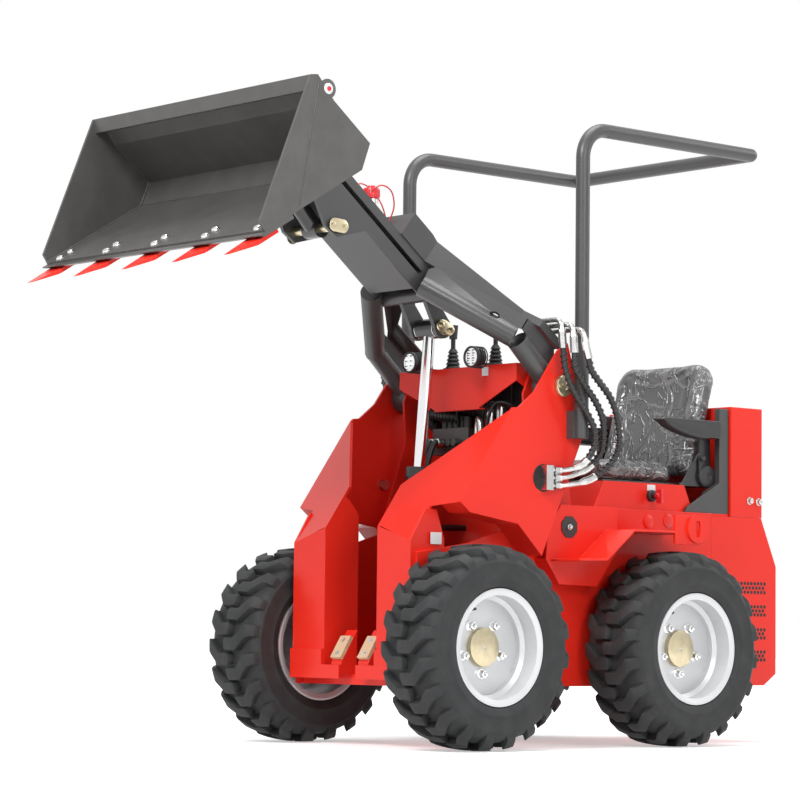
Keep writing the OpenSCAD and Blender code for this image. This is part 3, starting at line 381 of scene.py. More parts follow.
slotFinish = {
    "red_paint": "redPaint", "grey_paint": "greyPaint", "bucket_paint": "bucketPaint",
    "black_paint": "blackPaint",
    "black_plastic": "blackPlastic", "lamp_glass": "lensGlass", "zinc_steel": "zincPlate",
    "wheel_silver": "wheelSilver", "rod_chrome": "rodChrome", "tyre_rubber": "tyreRubber",
    "hose_rubber": "hoseRubber", "seat_vinyl": "filmedVinyl", "pad_nylon": "padNylon",
    "engine_iron": "engineIron",
}
nodeSlot = {part["node"]: part["material_slot"] for part in frame["record"]["subparts"]}
nodeFinish = {"valve_block": "castIron", "boom_pins": "goldZinc", "pivot_pins": "goldZinc"}


# eased edges: a small round on the sharp edges of the welded and folded plates, widths in metres
easing = {
    "main_frame": 0.0012, "towers": 0.0014, "front_bumper": 0.0014, "rear_fenders": 0.0012,
    "rear_cover": 0.0024,
    "rear_skirt": 0.0016, "seat_box": 0.003, "console_cowl": 0.0024, "boom_frame": 0.0012, "boom_cover": 0.0014,
    "bucket_shell": 0.0014, "cutting_edge": 0.0012, "bucket_teeth": 0.0012, "guard_frame": 0.0024,
    "boom_rest_pads": 0.002, "engine_block": 0.004, "valve_block": 0.0014, "armrests": 0.0016,
}


def easeEdges(obj, width):
    weld = obj.modifiers.new("weld", "WELD")
    weld.merge_threshold = 0.00001
    bevel = obj.modifiers.new("bevel", "BEVEL")
    bevel.width = width
    bevel.segments = 2
    bevel.limit_method = "ANGLE"
    bevel.angle_limit = math.radians(28)
    bevel.use_clamp_overlap = True
    bevel.harden_normals = True


def dressNodes():
    for name, obj in nodes.items():
        obj.data.materials.clear()
        obj.data.materials.append(paints[nodeFinish.get(name, slotFinish[nodeSlot[name]])])
        if name in easing:
            easeEdges(obj, easing[name])


dressNodes()
print("CAD nodes dressed")


# pieces
def makePiece(name, bm, finish, body, smoothAngle=35):
    mesh = bpy.data.meshes.new(name)
    bm.to_mesh(mesh)
    bm.free()
    mesh.materials.append(paints[finish])
    mesh.shade_smooth()
    mesh.set_sharp_from_angle(angle=math.radians(smoothAngle))
    obj = linked(name, mesh)
    if body:
        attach(obj, body)
    return obj


# adds a finished part to a piece at the given matrix
def absorb(bm, part, matrix):
    bmesh.ops.transform(part, matrix=matrix, verts=part.verts)
    bmesh.ops.recalc_face_normals(part, faces=part.faces)
    mesh = bpy.data.meshes.new("part")
    part.to_mesh(mesh)
    part.free()
    bm.from_mesh(mesh)
    bpy.data.meshes.remove(mesh)


def roundEdges(bm, edges, width, segments=2):
    bmesh.ops.bevel(bm, geom=edges, offset=width, segments=segments, profile=0.5, affect="EDGES", material=-1)


def raiseFaces(bm, faces, move):
    made = bmesh.ops.extrude_face_region(bm, geom=faces)
    raised = [v for v in made["geom"] if isinstance(v, bmesh.types.BMVert)]
    bmesh.ops.translate(bm, vec=move, verts=raised)
    return raised


# a turned shape: profile of (radius, height) pairs about +Z
def turn(bm, profile, matrix, steps=32):
    part = bmesh.new()
    verts = [part.verts.new((r, 0, h)) for r, h in profile]
    edges = [part.edges.new(pair) for pair in zip(verts, verts[1:])]
    bmesh.ops.spin(part, geom=verts + edges, axis=(0, 0, 1), cent=(0, 0, 0), angle=2 * math.pi, steps=steps,
                   use_merge=True)
    bmesh.ops.remove_doubles(part, verts=part.verts, dist=0.0001)
    absorb(bm, part, matrix)


# hexagon head bolt on a washer, standing on +Z at the matrix
def addBolt(bm, matrix, across=17, high=10, washer=13):
    turn(bm, [(0, 0), (washer, 0), (washer, 1.8), (washer - 0.8, 2.4), (0, 2.4)], matrix, 24)
    head = bmesh.new()
    r = across * 0.577  # from the width over the flats to the corners' radius
    bmesh.ops.create_cone(head, cap_ends=True, segments=6, radius1=r, radius2=r, depth=high)
    bmesh.ops.translate(head, vec=(0, 0, high / 2 + 2.2), verts=head.verts)
    topEdges = [e for e in head.edges if all(v.co.z > high for v in e.verts)]
    roundEdges(head, topEdges, across * 0.09)
    absorb(bm, head, matrix)


# tyres: a carcass turned from its section, with hooked lugs wrapped round it
tyre = {
    "lugs": 20,
    "radius": 292,
    "steps": 96,
    "section": [(153.4, 90.5), (160, 92.2), (167.6, 92.4), (170, 99), (177, 103.4), (188, 105.2), (191, 107),
                (195, 107), (198, 105.8), (214, 107.6), (236, 107.2), (239.5, 107.9), (243, 106.6), (250, 103),
                (257, 97), (262, 88), (267, 70), (270, 36), (270.5, 0)],
    "lugOutline": [(-18, -5), (-6, -9), (15, -9), (19, -2), (19, 35), (60, 77), (62, 103.5), (27, 103.5),
                   (22, 84), (-19, 43)],
    "lugHeight": 26,
    "draft": 3.2,
    "bevel": 2.4,
    "cutsAcross": (10, 24, 35, 50, 64, 77, 90),
    "cutsAlong": (0, 20, 40),
}


def crown(h):
    h = abs(h)
    return 292 - 5 * (h / 80) ** 2 - (max(0, h - 78) ** 1.55) * 0.125


def groove(h):
    h = abs(h)
    return 267 - 6 * (h / 80) ** 2 - max(0, h - 84) * 1.1


def makeLug():
    bm = bmesh.new()
    corners = [bm.verts.new((s, h, tyre["lugHeight"])) for s, h in tyre["lugOutline"]]
    top = bm.faces.new(corners)
    foot = raiseFaces(bm, [top], (0, 0, 0))
    middle = sum((v.co for v in foot), Vector()) / len(foot)
    for v in foot:
        away = (v.co - middle).normalized()
        v.co = Vector((v.co.x + away.x * tyre["draft"], min(v.co.y + away.y * tyre["draft"], 106), 0))
    bmesh.ops.recalc_face_normals(bm, faces=bm.faces)
    rimEdges = [e for e in bm.edges if all(v.co.z > 1 for v in e.verts)]
    roundEdges(bm, rimEdges, tyre["bevel"])
    cuts = [((0, h, 0), (0, 1, 0)) for h in tyre["cutsAcross"]]
    cuts += [((s, 0, 0), (1, 0, 0)) for s in tyre["cutsAlong"]]
    for place, normal in cuts:
        bmesh.ops.bisect_plane(bm, geom=bm.verts[:] + bm.edges[:] + bm.faces[:], plane_co=place,
                               plane_no=normal)
    mesh = bpy.data.meshes.new("lug")
    bm.to_mesh(mesh)
    bm.free()
    return mesh


def wrapLug(co, index, side):
    low, high = groove(co.y), crown(co.y)
    r = low + (high - low) * co.z / tyre["lugHeight"]
    turnBy = 2 * math.pi * (index + (0.5 if side < 0 else 0)) / tyre["lugs"]
    phi = co.x / tyre["radius"] + turnBy
    return Vector((r * math.cos(phi), co.y * side, r * math.sin(phi)))


def makeTyres():
    lug = makeLug()
    section = tyre["section"]
    loop = section + [(r, -h) for r, h in reversed(section[:-1])]
    for tag, front, left in wheels:
        bm = bmesh.new()
        wheel = wheelFrame(front, left)
        turn(bm, loop + [loop[0]], wheel @ Matrix.Rotation(math.radians(90), 4, "X"), tyre["steps"])
        for side in (1, -1):
            for index in range(tyre["lugs"]):
                part = bmesh.new()
                part.from_mesh(lug)
                for v in part.verts:
                    v.co = wrapLug(v.co, index, side)
                absorb(bm, part, wheel)
        obj = makePiece("luggedTyre_" + tag, bm, "tyreRubber", "wheel_" + tag, 32)
        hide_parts("tyre_" + tag)
    bpy.data.meshes.remove(lug)


makeTyres()
print("tyres made")


# wheel fittings: five nuts on their studs, a turned hub cap and a valve
wheelFit = {"nutCircle": 75, "nuts": 5, "nutAcross": 21, "nutHigh": 15, "face": 20, "capRadius": 55,
            "capTop": 35.5, "valveRadius": 122, "valveTurn": -62}


def makeWheelFittings():
    for tag, front, left in wheels:
        outward = wheelFrame(front, left) @ Matrix.Rotation(math.radians(-90 * left), 4, "X")
        nuts = bmesh.new()
        for k in range(wheelFit["nuts"]):
            spot = outward @ Matrix.Rotation(2 * math.pi * (k + 0.25) / wheelFit["nuts"], 4, "Z")
            spot = spot @ Matrix.Translation((wheelFit["nutCircle"], 0, wheelFit["face"]))
            addBolt(nuts, spot, wheelFit["nutAcross"], wheelFit["nutHigh"], 15)
            turn(nuts, [(0, 16), (6, 16), (6, 23), (4.6, 25), (0, 25.4)], spot, 16)
        makePiece("wheelNuts_" + tag, nuts, "rodChrome", "wheel_" + tag)
        cap = bmesh.new()
        r, top = wheelFit["capRadius"], wheelFit["capTop"]
        turn(cap, [(0, 21), (r, 21), (r, top - 2.5), (r - 0.8, top - 0.8), (r - 2.5, top), (6, top),
                   (4.5, top - 2), (0, top - 2.6)], outward, 48)
        makePiece("hubCap_" + tag, cap, "goldZinc", "wheel_" + tag)
        stem = bmesh.new()
        spot = outward @ Matrix.Rotation(math.radians(wheelFit["valveTurn"]), 4, "Z")
        spot = spot @ Matrix.Translation((wheelFit["valveRadius"], 0, wheelFit["face"] - 2))
        turn(stem, [(0, 0), (8, 0), (8, 6), (5.5, 10), (5.5, 26), (4.2, 28), (4.2, 38), (3.4, 40), (0, 40)],
             spot, 16)
        makePiece("valveStem_" + tag, stem, "hoseRubber", "wheel_" + tag)


makeWheelFittings()
print("wheel fittings made")


# lines: given points joined by a smooth curve, then swept as a round tube
def smoothLine(points, steps):
    line = []
    last = len(points) - 1
    for i in range(last):
        a, b, c, d = [Vector(points[min(max(k, 0), last)]) for k in (i - 1, i, i + 1, i + 2)]
        for s in range(steps):
            t = s / steps
            line.append(0.5 * (2 * b + (c - a) * t + (2 * a - 5 * b + 4 * c - d) * t * t
                               + (3 * b - a - 3 * c + d) * t * t * t))
    line.append(Vector(points[-1]))
    return line


def runLength(line):
    return sum((b - a).length for a, b in zip(line, line[1:]))


def evenLine(line, spacing):
    count = max(2, round(runLength(line) / spacing))
    step = runLength(line) / count
    even, walked = [line[0].copy()], 0.0
    for a, b in zip(line, line[1:]):
        size = (b - a).length
        while len(even) <= count and walked + size >= step * len(even) - 0.000001:
            even.append(a.lerp(b, min(1.0, (step * len(even) - walked) / size)))
        walked += size
    return even


def sweep(bm, line, radius, matrix, resolution=4):
    curve = bpy.data.curves.new("sweep", "CURVE")
    curve.dimensions = "3D"
    curve.bevel_depth = radius
    curve.bevel_resolution = resolution
    curve.use_fill_caps = True
    spline = curve.splines.new("POLY")
    spline.points.add(len(line) - 1)
    for point, co in zip(spline.points, line):
        point.co = (*co, 1)
    holder = bpy.data.objects.new("sweep", curve)
    mesh = bpy.data.meshes.new_from_object(holder)
    part = bmesh.new()
    part.from_mesh(mesh)
    bmesh.ops.remove_doubles(part, verts=part.verts, dist=0.001)
    absorb(bm, part, matrix)
    bpy.data.objects.remove(holder)
    bpy.data.curves.remove(curve)
    bpy.data.meshes.remove(mesh)


# helix laid round a line, for spiral hose wrap
def wrapLine(line, radius, pitch, perTurn=12):
    even = evenLine(line, pitch / perTurn)
    side = Vector((0, 1, 0))
    helix = []
    for i, point in enumerate(even):
        ahead = (even[min(i + 1, len(even) - 1)] - even[max(i - 1, 0)]).normalized()
        side = (side - ahead * side.dot(ahead)).normalized()
        angle = 2 * math.pi * i / perTurn
        helix.append(point + radius * (math.cos(angle) * side + math.sin(angle) * ahead.cross(side)))
    return helix


# a box with its edges rounded, sides given as (low, high) pairs
def addBox(bm, x, y, z, matrix, edge=1.5, segments=2):
    part = bmesh.new()
    bmesh.ops.create_cube(part, size=1)
    bmesh.ops.scale(part, vec=(x[1] - x[0], y[1] - y[0], z[1] - z[0]), verts=part.verts)
    bmesh.ops.translate(part, vec=((x[0] + x[1]) / 2, (y[0] + y[1]) / 2, (z[0] + z[1]) / 2), verts=part.verts)
    if edge:
        roundEdges(part, part.edges[:], edge, segments)
    absorb(bm, part, matrix)


# a flat plate from an outline in the frame's x and z, between two values of y
def addPlate(bm, outline, y, matrix, edge=1.0):
    part = bmesh.new()
    face = part.faces.new([part.verts.new((a, y[0], b)) for a, b in outline])
    raiseFaces(part, [face], (0, y[1] - y[0], 0))
    if edge:
        rims = [e for e in part.edges if abs(e.verts[0].co.y - e.verts[1].co.y) < 0.01]
        roundEdges(part, rims, edge)
    absorb(bm, part, matrix)


def facing(frame, x, y, z, towards):
    turns = {"+y": Matrix.Rotation(math.radians(-90), 4, "X"), "-y": Matrix.Rotation(math.radians(90), 4, "X"),
             "+x": Matrix.Rotation(math.radians(90), 4, "Y"), "+z": Matrix.Identity(4)}
    return frame @ Matrix.Translation((x, y, z)) @ turns[towards]


# outwards on the left (1) or right (-1) side
def sideways(frame, x, y, z, side):
    return facing(frame, x, side * y, z, "+y" if side > 0 else "-y")


# side lines: the wrapped hoses between the boom's pipes and the towers
sideLines = {
    "pipeU": (148, 124, 100), "pipeW": 128, "pipeIn": 314, "pipeOut": (394, 424, 448), "pipeBack": (8, 6, 22),
    "middle": [
        [(65, 396, 1128), (60, 403, 1086), (36, 414, 1029), (-6, 422, 973), (-33, 424, 927), (-36, 420, 881),
         (-18, 409, 842)],
        [(48, 425, 1106), (12, 427, 1058), (-34, 428, 1010), (-62, 427, 965), (-74, 420, 917), (-76, 408, 868),
         (-52, 394, 829)],
        [(6, 448, 1102), (-26, 448, 1070), (-71, 448, 1028), (-102, 446, 977), (-119, 441, 918),
         (-126, 430, 872), (-108, 410, 828), (-66, 394, 794)]],
    "low": [[(6, 398, 822), (36, 388, 812)], [(-20, 387, 809), (20, 383, 794)],
            [(-30, 387, 779), (12, 383, 769)]],
    "stubY": 382, "stubZ": (808, 785, 762), "bulkheadX": 113,
    "radius": 8.6, "wrapAt": 8.4, "wrapRadius": 3.6, "pitch": 17, "steps": 10,
}


def sideRoute(k, left):
    turnBy = math.radians(machine["boomAngle"])
    u, w = sideLines["pipeU"][k], sideLines["pipeW"]
    x = machine["pivot"][0] + u * math.cos(turnBy) - w * math.sin(turnBy)
    z = machine["pivot"][1] + u * math.sin(turnBy) + w * math.cos(turnBy)
    y, d = sideLines["pipeOut"][k], sideLines["pipeBack"][k]
    stubY, stubZ = sideLines["stubY"], sideLines["stubZ"][k]
    top = [(x, sideLines["pipeIn"], z), (x, y - 56, z), (x, y - 24, z), (x, y - 7, z - 6),
           (x - d / 8, y, z - 22), (x - d / 2, y, z - 52), (x - d, y, z - 84)]
    stub = [(66, stubY, stubZ), (86, stubY, stubZ), (sideLines["bulkheadX"], stubY, stubZ)]
    points = top + sideLines["middle"][k] + sideLines["low"][k] + stub
    line = smoothLine([(a, left * b, c) for a, b, c in points], sideLines["steps"])
    first = (len(top) - 1) * sideLines["steps"]
    last = (len(top) - 1 + len(sideLines["middle"][k])) * sideLines["steps"]
    return line[first:last + 1]


def makeSideHoses():
    for side, left in (("left", 1), ("right", -1)):
        for k in range(3):
            line = sideRoute(k, left)
            line[0] = line[0] + 0.4 * (line[1] - line[0]).normalized()
            line[-1] = line[-1] + 0.4 * (line[-2] - line[-1]).normalized()
            bm = bmesh.new()
            sweep(bm, line, sideLines["radius"], machineFrame, 5)
            wrap = wrapLine(line, sideLines["wrapAt"], sideLines["pitch"])
            sweep(bm, wrap[6:-6], sideLines["wrapRadius"], machineFrame, 2)
            obj = makePiece(f"wrappedHose_{side}{k + 1}", bm, "hoseRubber", None, 60)
            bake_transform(obj)
            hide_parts("side_hoses_" + side)


# supply hoses: loops in the front bay
bayHoses = {"portX": 116, "portY": -130, "pitch": 25, "wallX": 20, "radius": 9, "steps": 8}


def makeBayHoses():
    fittings = bmesh.new()
    for k in range(3):
        y = bayHoses["portY"] + k * bayHoses["pitch"]
        x = bayHoses["portX"]
        points = [(x + 0.4, y, 905), (x + 8, y, 905), (x + 16, y, 905), (152, y, 894), (176, y, 830),
                  (188, y, 745),
                  (222, y, 640), (272, y, 540), (302, y, 462), (284, y, 408 + 12 * k), (244, y, 424 + 12 * k),
                  (214, y, 510), (180, y, 605), (110, y, 646), (60, y, 650), (40, y, 650),
                  (bayHoses["wallX"] + 0.4, y, 650)]
        line = smoothLine(points, bayHoses["steps"])
        bm = bmesh.new()
        sweep(bm, line, bayHoses["radius"], machineFrame, 5)
        obj = makePiece(f"bayHose_{k + 1}", bm, "hoseRubber", "chassis", 60)
        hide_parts("front_hoses")
        collar = facing(machineFrame, x + 1, y, 905, "+x")
        turn(fittings, [(9.4, 0), (12.5, 0), (12.5, 20), (11, 22), (9.4, 22)], collar, 20)
    makePiece("bayFerrules", fittings, "boltZinc", "chassis")


makeSideHoses()
makeBayHoses()
print("hoses made")


# bucket fittings: two rows of edge bolts, and weld beads in the corners
bucketFit = {
    "boltX": (521, 480), "boltPitch": 229, "floorTop": -114, "boltRadius": 12,
    "weldRadius": 3.2, "inside": 497,
    "profile": [(539, -113), (156, -113), (93, -66), (151, 84), (160, 160)],
}


def makeBucketFittings():
    bolts = bmesh.new()
    r = bucketFit["boltRadius"]
    for x in bucketFit["boltX"]:
        for k in range(-2, 3):
            spot = facing(bucketFrame, x, k * bucketFit["boltPitch"], bucketFit["floorTop"], "+z")
            turn(bolts, [(0, 0), (r + 3, 0), (r + 3, 1.5), (r, 2), (r - 1, 6), (r - 5, 9), (0, 10)], spot, 24)
    makePiece("edgeBolts", bolts, "boltZinc", "bucket")
    welds = bmesh.new()
    for side in (-1, 1):
        y = side * bucketFit["inside"]
        line = evenLine([Vector((a, y, b)) for a, b in bucketFit["profile"]], 6)
        sweep(welds, line, bucketFit["weldRadius"], bucketFrame, 2)
    heel = bucketFit["profile"][1]
    sweep(welds, [Vector((heel[0], k * 40, heel[1])) for k in range(-12, 13)], 2.6, bucketFrame, 2)
    makePiece("bucketWelds", welds, "bucketPaint", "bucket")


makeBucketFittings()


# bucket sides: a lifting eye at each upper corner with its bolt, and a black bead along the seam of the side
# cutter, painted shade of the step where the cutter plate overlaps
bucketSide = {
    "eyeAt": (1064, 1790), "eyeFoot": ((1042, 1738), (1106, 1788)), "eyeY": (498, 504), "eyeRadius": 27,
    "discRadius": 15, "boltRadius": 6.5,
    "seam": ((1096.8, 1804), (1159, 1464)), "seamY": 505, "seamRadius": 1.3,
}


def makeBucketSides():
    eyes, discs, bolts, seamShadeBeads = bmesh.new(), bmesh.new(), bmesh.new(), bmesh.new()
    x, z = bucketSide["eyeAt"]
    low, high = bucketSide["eyeY"]
    r = bucketSide["eyeRadius"]
    turns = [math.radians(20 + 8 * k) for k in range(28)]
    outline = [(x + r * math.cos(a), z + r * math.sin(a)) for a in turns] + list(bucketSide["eyeFoot"])
    for side in (-1, 1):
        addPlate(eyes, outline, sorted((side * low, side * high)), machineFrame)
        face = sideways(machineFrame, x, high, z, side)
        r2, r3 = bucketSide["discRadius"], bucketSide["boltRadius"]
        turn(discs, [(0, 0), (r2, 0), (r2, 1.6), (r2 - 1, 2.2), (0, 2.2)], face, 32)
        turn(bolts, [(0, 2), (r3, 2), (r3, 5.4), (r3 - 1.4, 6.6), (0, 6.8)], face, 20)
        # black bead on the seam: painted shade of the cutter plate's step
        line = [Vector((x2, side * bucketSide["seamY"], z2)) for x2, z2 in bucketSide["seam"]]
        sweep(seamShadeBeads, [line[0].lerp(line[1], k / 12) for k in range(13)], bucketSide["seamRadius"],
              machineFrame, 2)
    makePiece("bucketEyes", eyes, "bucketPaint", "bucket")
    makePiece("eyeDiscs", discs, "labelWhite", "bucket")
    makePiece("eyeBolts", bolts, "capRed", "bucket")
    makePiece("cutterSeamShade", seamShadeBeads, "blackPaint", "bucket", 60)


makeBucketSides()
print("bucket fittings made")


# boom fittings: keeper plates with their bolts, the quick coupler's cap and its tethers
boomFit = {
    "trunnion": (780, -63), "trunnionY": 108, "lift": (267, 15.5), "liftY": 66,
    "pivotY": 368, "capTurn": 40, "capAt": (640, 108),
}


def addKeeper(bm, frame, u, w, y, side, length=62, width=34, turnBy=0, thick=6, head=7):
    spot = sideways(frame, u, y, w, side) @ Matrix.Rotation(math.radians(turnBy), 4, "Z")
    part = bmesh.new()
    bmesh.ops.create_circle(part, cap_ends=True, segments=32, radius=width / 2)
    for v in part.verts:
        v.co.x += math.copysign((length - width) / 2, v.co.x) if abs(v.co.x) > 0.01 else 0
    raiseFaces(part, part.faces[:], (0, 0, thick))
    rims = [e for e in part.edges if all(v.co.z > thick - 1 for v in e.verts)]
    roundEdges(part, rims, 1.2)
    absorb(bm, part, spot)
    for end in (-1, 1):
        addBolt(bm, spot @ Matrix.Translation((end * (length / 2 - 12), 0, thick)), 13, head, 9)


def makeBoomFittings():
    keepers = bmesh.new()
    for side in (-1, 1):
        addKeeper(keepers, boomFrame, *boomFit["trunnion"], boomFit["trunnionY"], side, 70, 40, 35, 3, 2.5)
    u, w = boomFit["lift"]
    addKeeper(keepers, boomFrame, u, w, boomFit["liftY"], 1, 66, 38, 20)
    pinHead = facing(boomFrame, u, -boomFit["liftY"], w, "-y")  # flat head on the side by the hoses
    turn(keepers, [(0, 0), (19, 0), (19, 1.8), (17.6, 3), (0, 3)], pinHead, 36)
    makePiece("boomKeepers", keepers, "goldZinc", "boom")
    sleeve = bmesh.new()
    spot = facing(boomFrame, u, -40.6, w, "+y")
    turn(sleeve, [(0, 0), (28, 0), (30.6, 2.6), (30.6, 78.6), (28, 81.2), (0, 81.2)], spot, 40)
    makePiece("liftEyeSleeve", sleeve, "blackPaint", "lift_rod")
    heads = bmesh.new()
    for side in (-1, 1):
        spot = sideways(machineFrame, machine["pivot"][0], boomFit["pivotY"], machine["pivot"][1], side)
        turn(heads, [(0, 0), (31, 0), (31, 5), (29, 7), (12, 7), (10, 5), (0, 5)], spot, 36)
        addBolt(heads, spot @ Matrix.Translation((20, 0, 6)), 10, 6, 7)
    makePiece("pivotHeads", heads, "goldZinc", "chassis")
    capFrame = (boomFrame @ Matrix.Translation((boomFit["capAt"][0], 0, boomFit["capAt"][1]))
                @ Matrix.Rotation(math.radians(boomFit["capTurn"]), 4, "Y"))
    cap = bmesh.new()
    turn(cap, [(0, 62), (20.6, 62), (20.6, 64), (24, 65), (24, 92), (22, 95), (13, 96), (11, 102), (0, 103)],
         capFrame, 28)
    for k in range(10):
        rib = capFrame @ Matrix.Rotation(2 * math.pi * k / 10, 4, "Z")
        addBox(cap, (23.2, 25.6), (-2, 2), (68, 90), rib, 0.8, 1)
    makePiece("couplerCap", cap, "capRed", "boom")
    tethers = [[(16.5, 18.1, 84), (-6, 40, 100), (-40, 44, 84), (-62, 30, 44), (-60, 14, 6), (-51.5, 6, -22)],
               [(18.2, -16.5, 88), (10, -44, 112), (-30, -52, 108), (-62, -38, 70), (-68, -18, 22),
                (-59, -8, -16)]]
    for k, points in enumerate(tethers):
        line = smoothLine(points, 10)
        bm = bmesh.new()
        sweep(bm, line, 2.2, capFrame, 3)
        obj = makePiece(f"capTether_{k + 1}", bm, "capRed", "boom", 60)


makeBoomFittings()
print("boom fittings made")


# work lamps: bezel, reflector cells and cooling fins round the two lamp bodies
lampFit = {"place": (200, 139, 1147), "cells": 3}


def makeLamps():
    shells, mirrors = bmesh.new(), bmesh.new()
    x, y, z = lampFit["place"]
    for side in (-1, 1):
        spot = facing(machineFrame, x, side * y, z, "+x")
        turn(shells, [(26.5, -10), (32.4, -10), (32.4, 1.5), (31, 3), (28.5, 3), (27, 1), (26.5, -3)], spot, 40)
        for k in range(4):
            turn(shells, [(30.8, -18 - 7 * k), (33, -18 - 7 * k), (33, -15 - 7 * k), (30.8, -15 - 7 * k)],
                 spot, 32)
        turn(mirrors, [(0, -2.4), (26.6, -2.4), (26.6, -1), (0, -1)], spot, 36)
        for row in range(lampFit["cells"]):
            for column in (-1, 1):
                cell = spot @ Matrix.Translation(((row - 1) * 15, column * 10.5, -1))
                part = bmesh.new()
                bmesh.ops.create_cone(part, cap_ends=True, segments=4, radius1=10, radius2=4, depth=3)
                bmesh.ops.rotate(part, matrix=Matrix.Rotation(math.radians(45), 3, "Z"), verts=part.verts)
                bmesh.ops.scale(part, vec=(0.9, 1.25, 1), verts=part.verts)
                bmesh.ops.translate(part, vec=(0, 0, 1.4), verts=part.verts)
                absorb(mirrors, part, cell)
    makePiece("lampShells", shells, "blackPlastic", "chassis")
    makePiece("lampMirrors", mirrors, "lampMirror", "chassis")


makeLamps()
print("lamps made")


# rear body: vent panels, cover bolts, switch key and small plates
rearFit = {
    "ventX": (-950, -812), "ventZ": ((463, 504), (393, 431), (321, 359), (252, 289)), "sideY": 270,
    "holes": (9, 3), "boltAt": ((-875, 757), (-917, 755)), "discAt": ((-418, 676), (-506, 682)),
    "keyAt": (-449, 757), "octagonAt": (-33, 647), "octagonY": 323,
}


# vent holes: flat black discs on the side panel, painted shade inside the holes
def makeVents():
    across, up = rearFit["holes"]
    holes = bmesh.new()
    for side in (-1, 1):
        for low, high in rearFit["ventZ"]:
            x0, x1 = rearFit["ventX"]
            stepX, stepZ = (x1 - x0) / across, (high - low) / up
            for row in range(up):
                for column in range(across):
                    shift = 0.25 if row % 2 else -0.25
                    spot = facing(machineFrame, x0 + (column + 0.5 + shift) * stepX, side * rearFit["sideY"],
                                  low + (row + 0.5) * stepZ, "+y" if side > 0 else "-y")
                    turn(holes, [(0, 0.15), (5.0, 0.15), (5.6, 0.5), (6.0, 0.1)], spot, 12)
    makePiece("ventHoleShade", holes, "holeShadeBlack", "chassis", 20)


def makeRearFittings():
    bolts, reds, plates = bmesh.new(), bmesh.new(), bmesh.new()
    for side in (-1, 1):
        for x, z in rearFit["boltAt"]:
            addBolt(bolts, sideways(machineFrame, x, rearFit["sideY"], z, side), 16, 9, 12)
        x, z = rearFit["octagonAt"]
        addBolt(bolts, sideways(machineFrame, x, rearFit["octagonY"], z, side), 11, 6, 9)
        for x, z in rearFit["discAt"]:
            turn(reds, [(0, 0), (21, 0), (21, 2.4), (20, 3), (0, 3)],
                 sideways(machineFrame, x, rearFit["sideY"], z, side), 32)
    makePiece("rearBolts", bolts, "boltZinc", "chassis")
    makePiece("fenderDiscs", reds, "redPaint", "chassis")
    x, z = rearFit["keyAt"]
    key = bmesh.new()
    turn(key, [(0, 0), (9, 0), (9, 14), (6, 16), (0, 16)], facing(machineFrame, x, 276, z, "+y"), 24)
    addBox(key, (x - 5, x + 5), (278, 300), (z - 24, z + 20), machineFrame, 3)
    obj = makePiece("switchKey", key, "capRed", "chassis")
    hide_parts("isolator_switch")
    body = bmesh.new()
    turn(body, [(0, 0), (18, 0), (18, 10), (15, 13), (10, 13), (10, 26), (0, 26)],
         facing(machineFrame, x, 250.3, z, "+y"), 28)
    obj = makePiece("switchBody", body, "blackPlastic", "chassis")
    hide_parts("isolator_switch")
    addBox(plates, (x - 20, x + 16), (250.2, 251.4), (z + 16, z + 34), machineFrame, 0.4, 1)
    addBox(plates, (129.9, 131.2), (112, 140), (1096, 1122), machineFrame, 0.4, 1)
    addBox(plates, (428, 470), (270.1, 271.1), (584, 618), machineFrame, 0.4, 1)
    makePiece("smallPlates", plates, "labelWhite", "chassis")


# tower bulkheads: flat black discs with a rim, painted shade of the openings, with union nuts for the pipes;
# tie-down eyes on the fenders
sideFit = {
    "openAt": (113, 785), "openY": 360, "openRadius": 40, "nutX": 92, "nutY": 382, "nutZ": (808, 785, 762),
    "eyeAt": (-452, 652), "eyeY": (440, 447), "eyeRadius": 43, "eyeSlot": (10, 15),
}


def roundLoop(bm, x, z, y, radius, stretch, count=40):
    loop = []
    for k in range(count):
        angle = 2 * math.pi * (k + 0.5) / count
        up = radius * math.sin(angle)
        loop.append(bm.verts.new((x + radius * math.cos(angle), y, z + up + math.copysign(stretch, up))))
    return loop


def makeSideFittings():
    openingShades, nuts, eyes = bmesh.new(), bmesh.new(), bmesh.new()
    for side in (-1, 1):
        x, z = sideFit["openAt"]
        r = sideFit["openRadius"]
        spot = sideways(machineFrame, x, sideFit["openY"], z, side)
        # flat black disc with a rim: painted shade inside the opening
        turn(openingShades, [(0, 0.3), (r - 4, 0.3), (r - 2, 1.6), (r, 1.2), (r + 0.6, 0)], spot, 40)
        for z in sideFit["nutZ"]:
            spot = facing(machineFrame, sideFit["nutX"], side * sideFit["nutY"], z, "+x")
            spot = spot @ Matrix.Scale(-1, 4, (0, 0, 1))
            turn(nuts, [(9.2, 0), (13.4, 0), (13.4, 15), (9.2, 15)], spot, 6)
            turn(nuts, [(9.2, 16), (11.4, 16), (11.4, 26), (10.4, 28), (9.2, 28)], spot, 20)
        part = bmesh.new()
        x, z = sideFit["eyeAt"]
        low, high = sideFit["eyeY"]
        outer = roundLoop(part, x, z, side * low, sideFit["eyeRadius"], 0)
        inner = roundLoop(part, x, z, side * low, *sideFit["eyeSlot"])
        for k in range(len(outer)):
            part.faces.new((outer[k], outer[k - 1], inner[k - 1], inner[k]))
        raiseFaces(part, part.faces[:], (0, side * (high - low), 0))
        absorb(eyes, part, machineFrame)
    makePiece("bulkheadOpeningShade", openingShades, "holeShadeBlack", "chassis")
    makePiece("unionNuts", nuts, "boltZinc", "chassis", 30)
    makePiece("tieDownEyes", eyes, "redPaint", "chassis", 30)


makeVents()
makeRearFittings()
makeSideFittings()
print("rear fittings made")


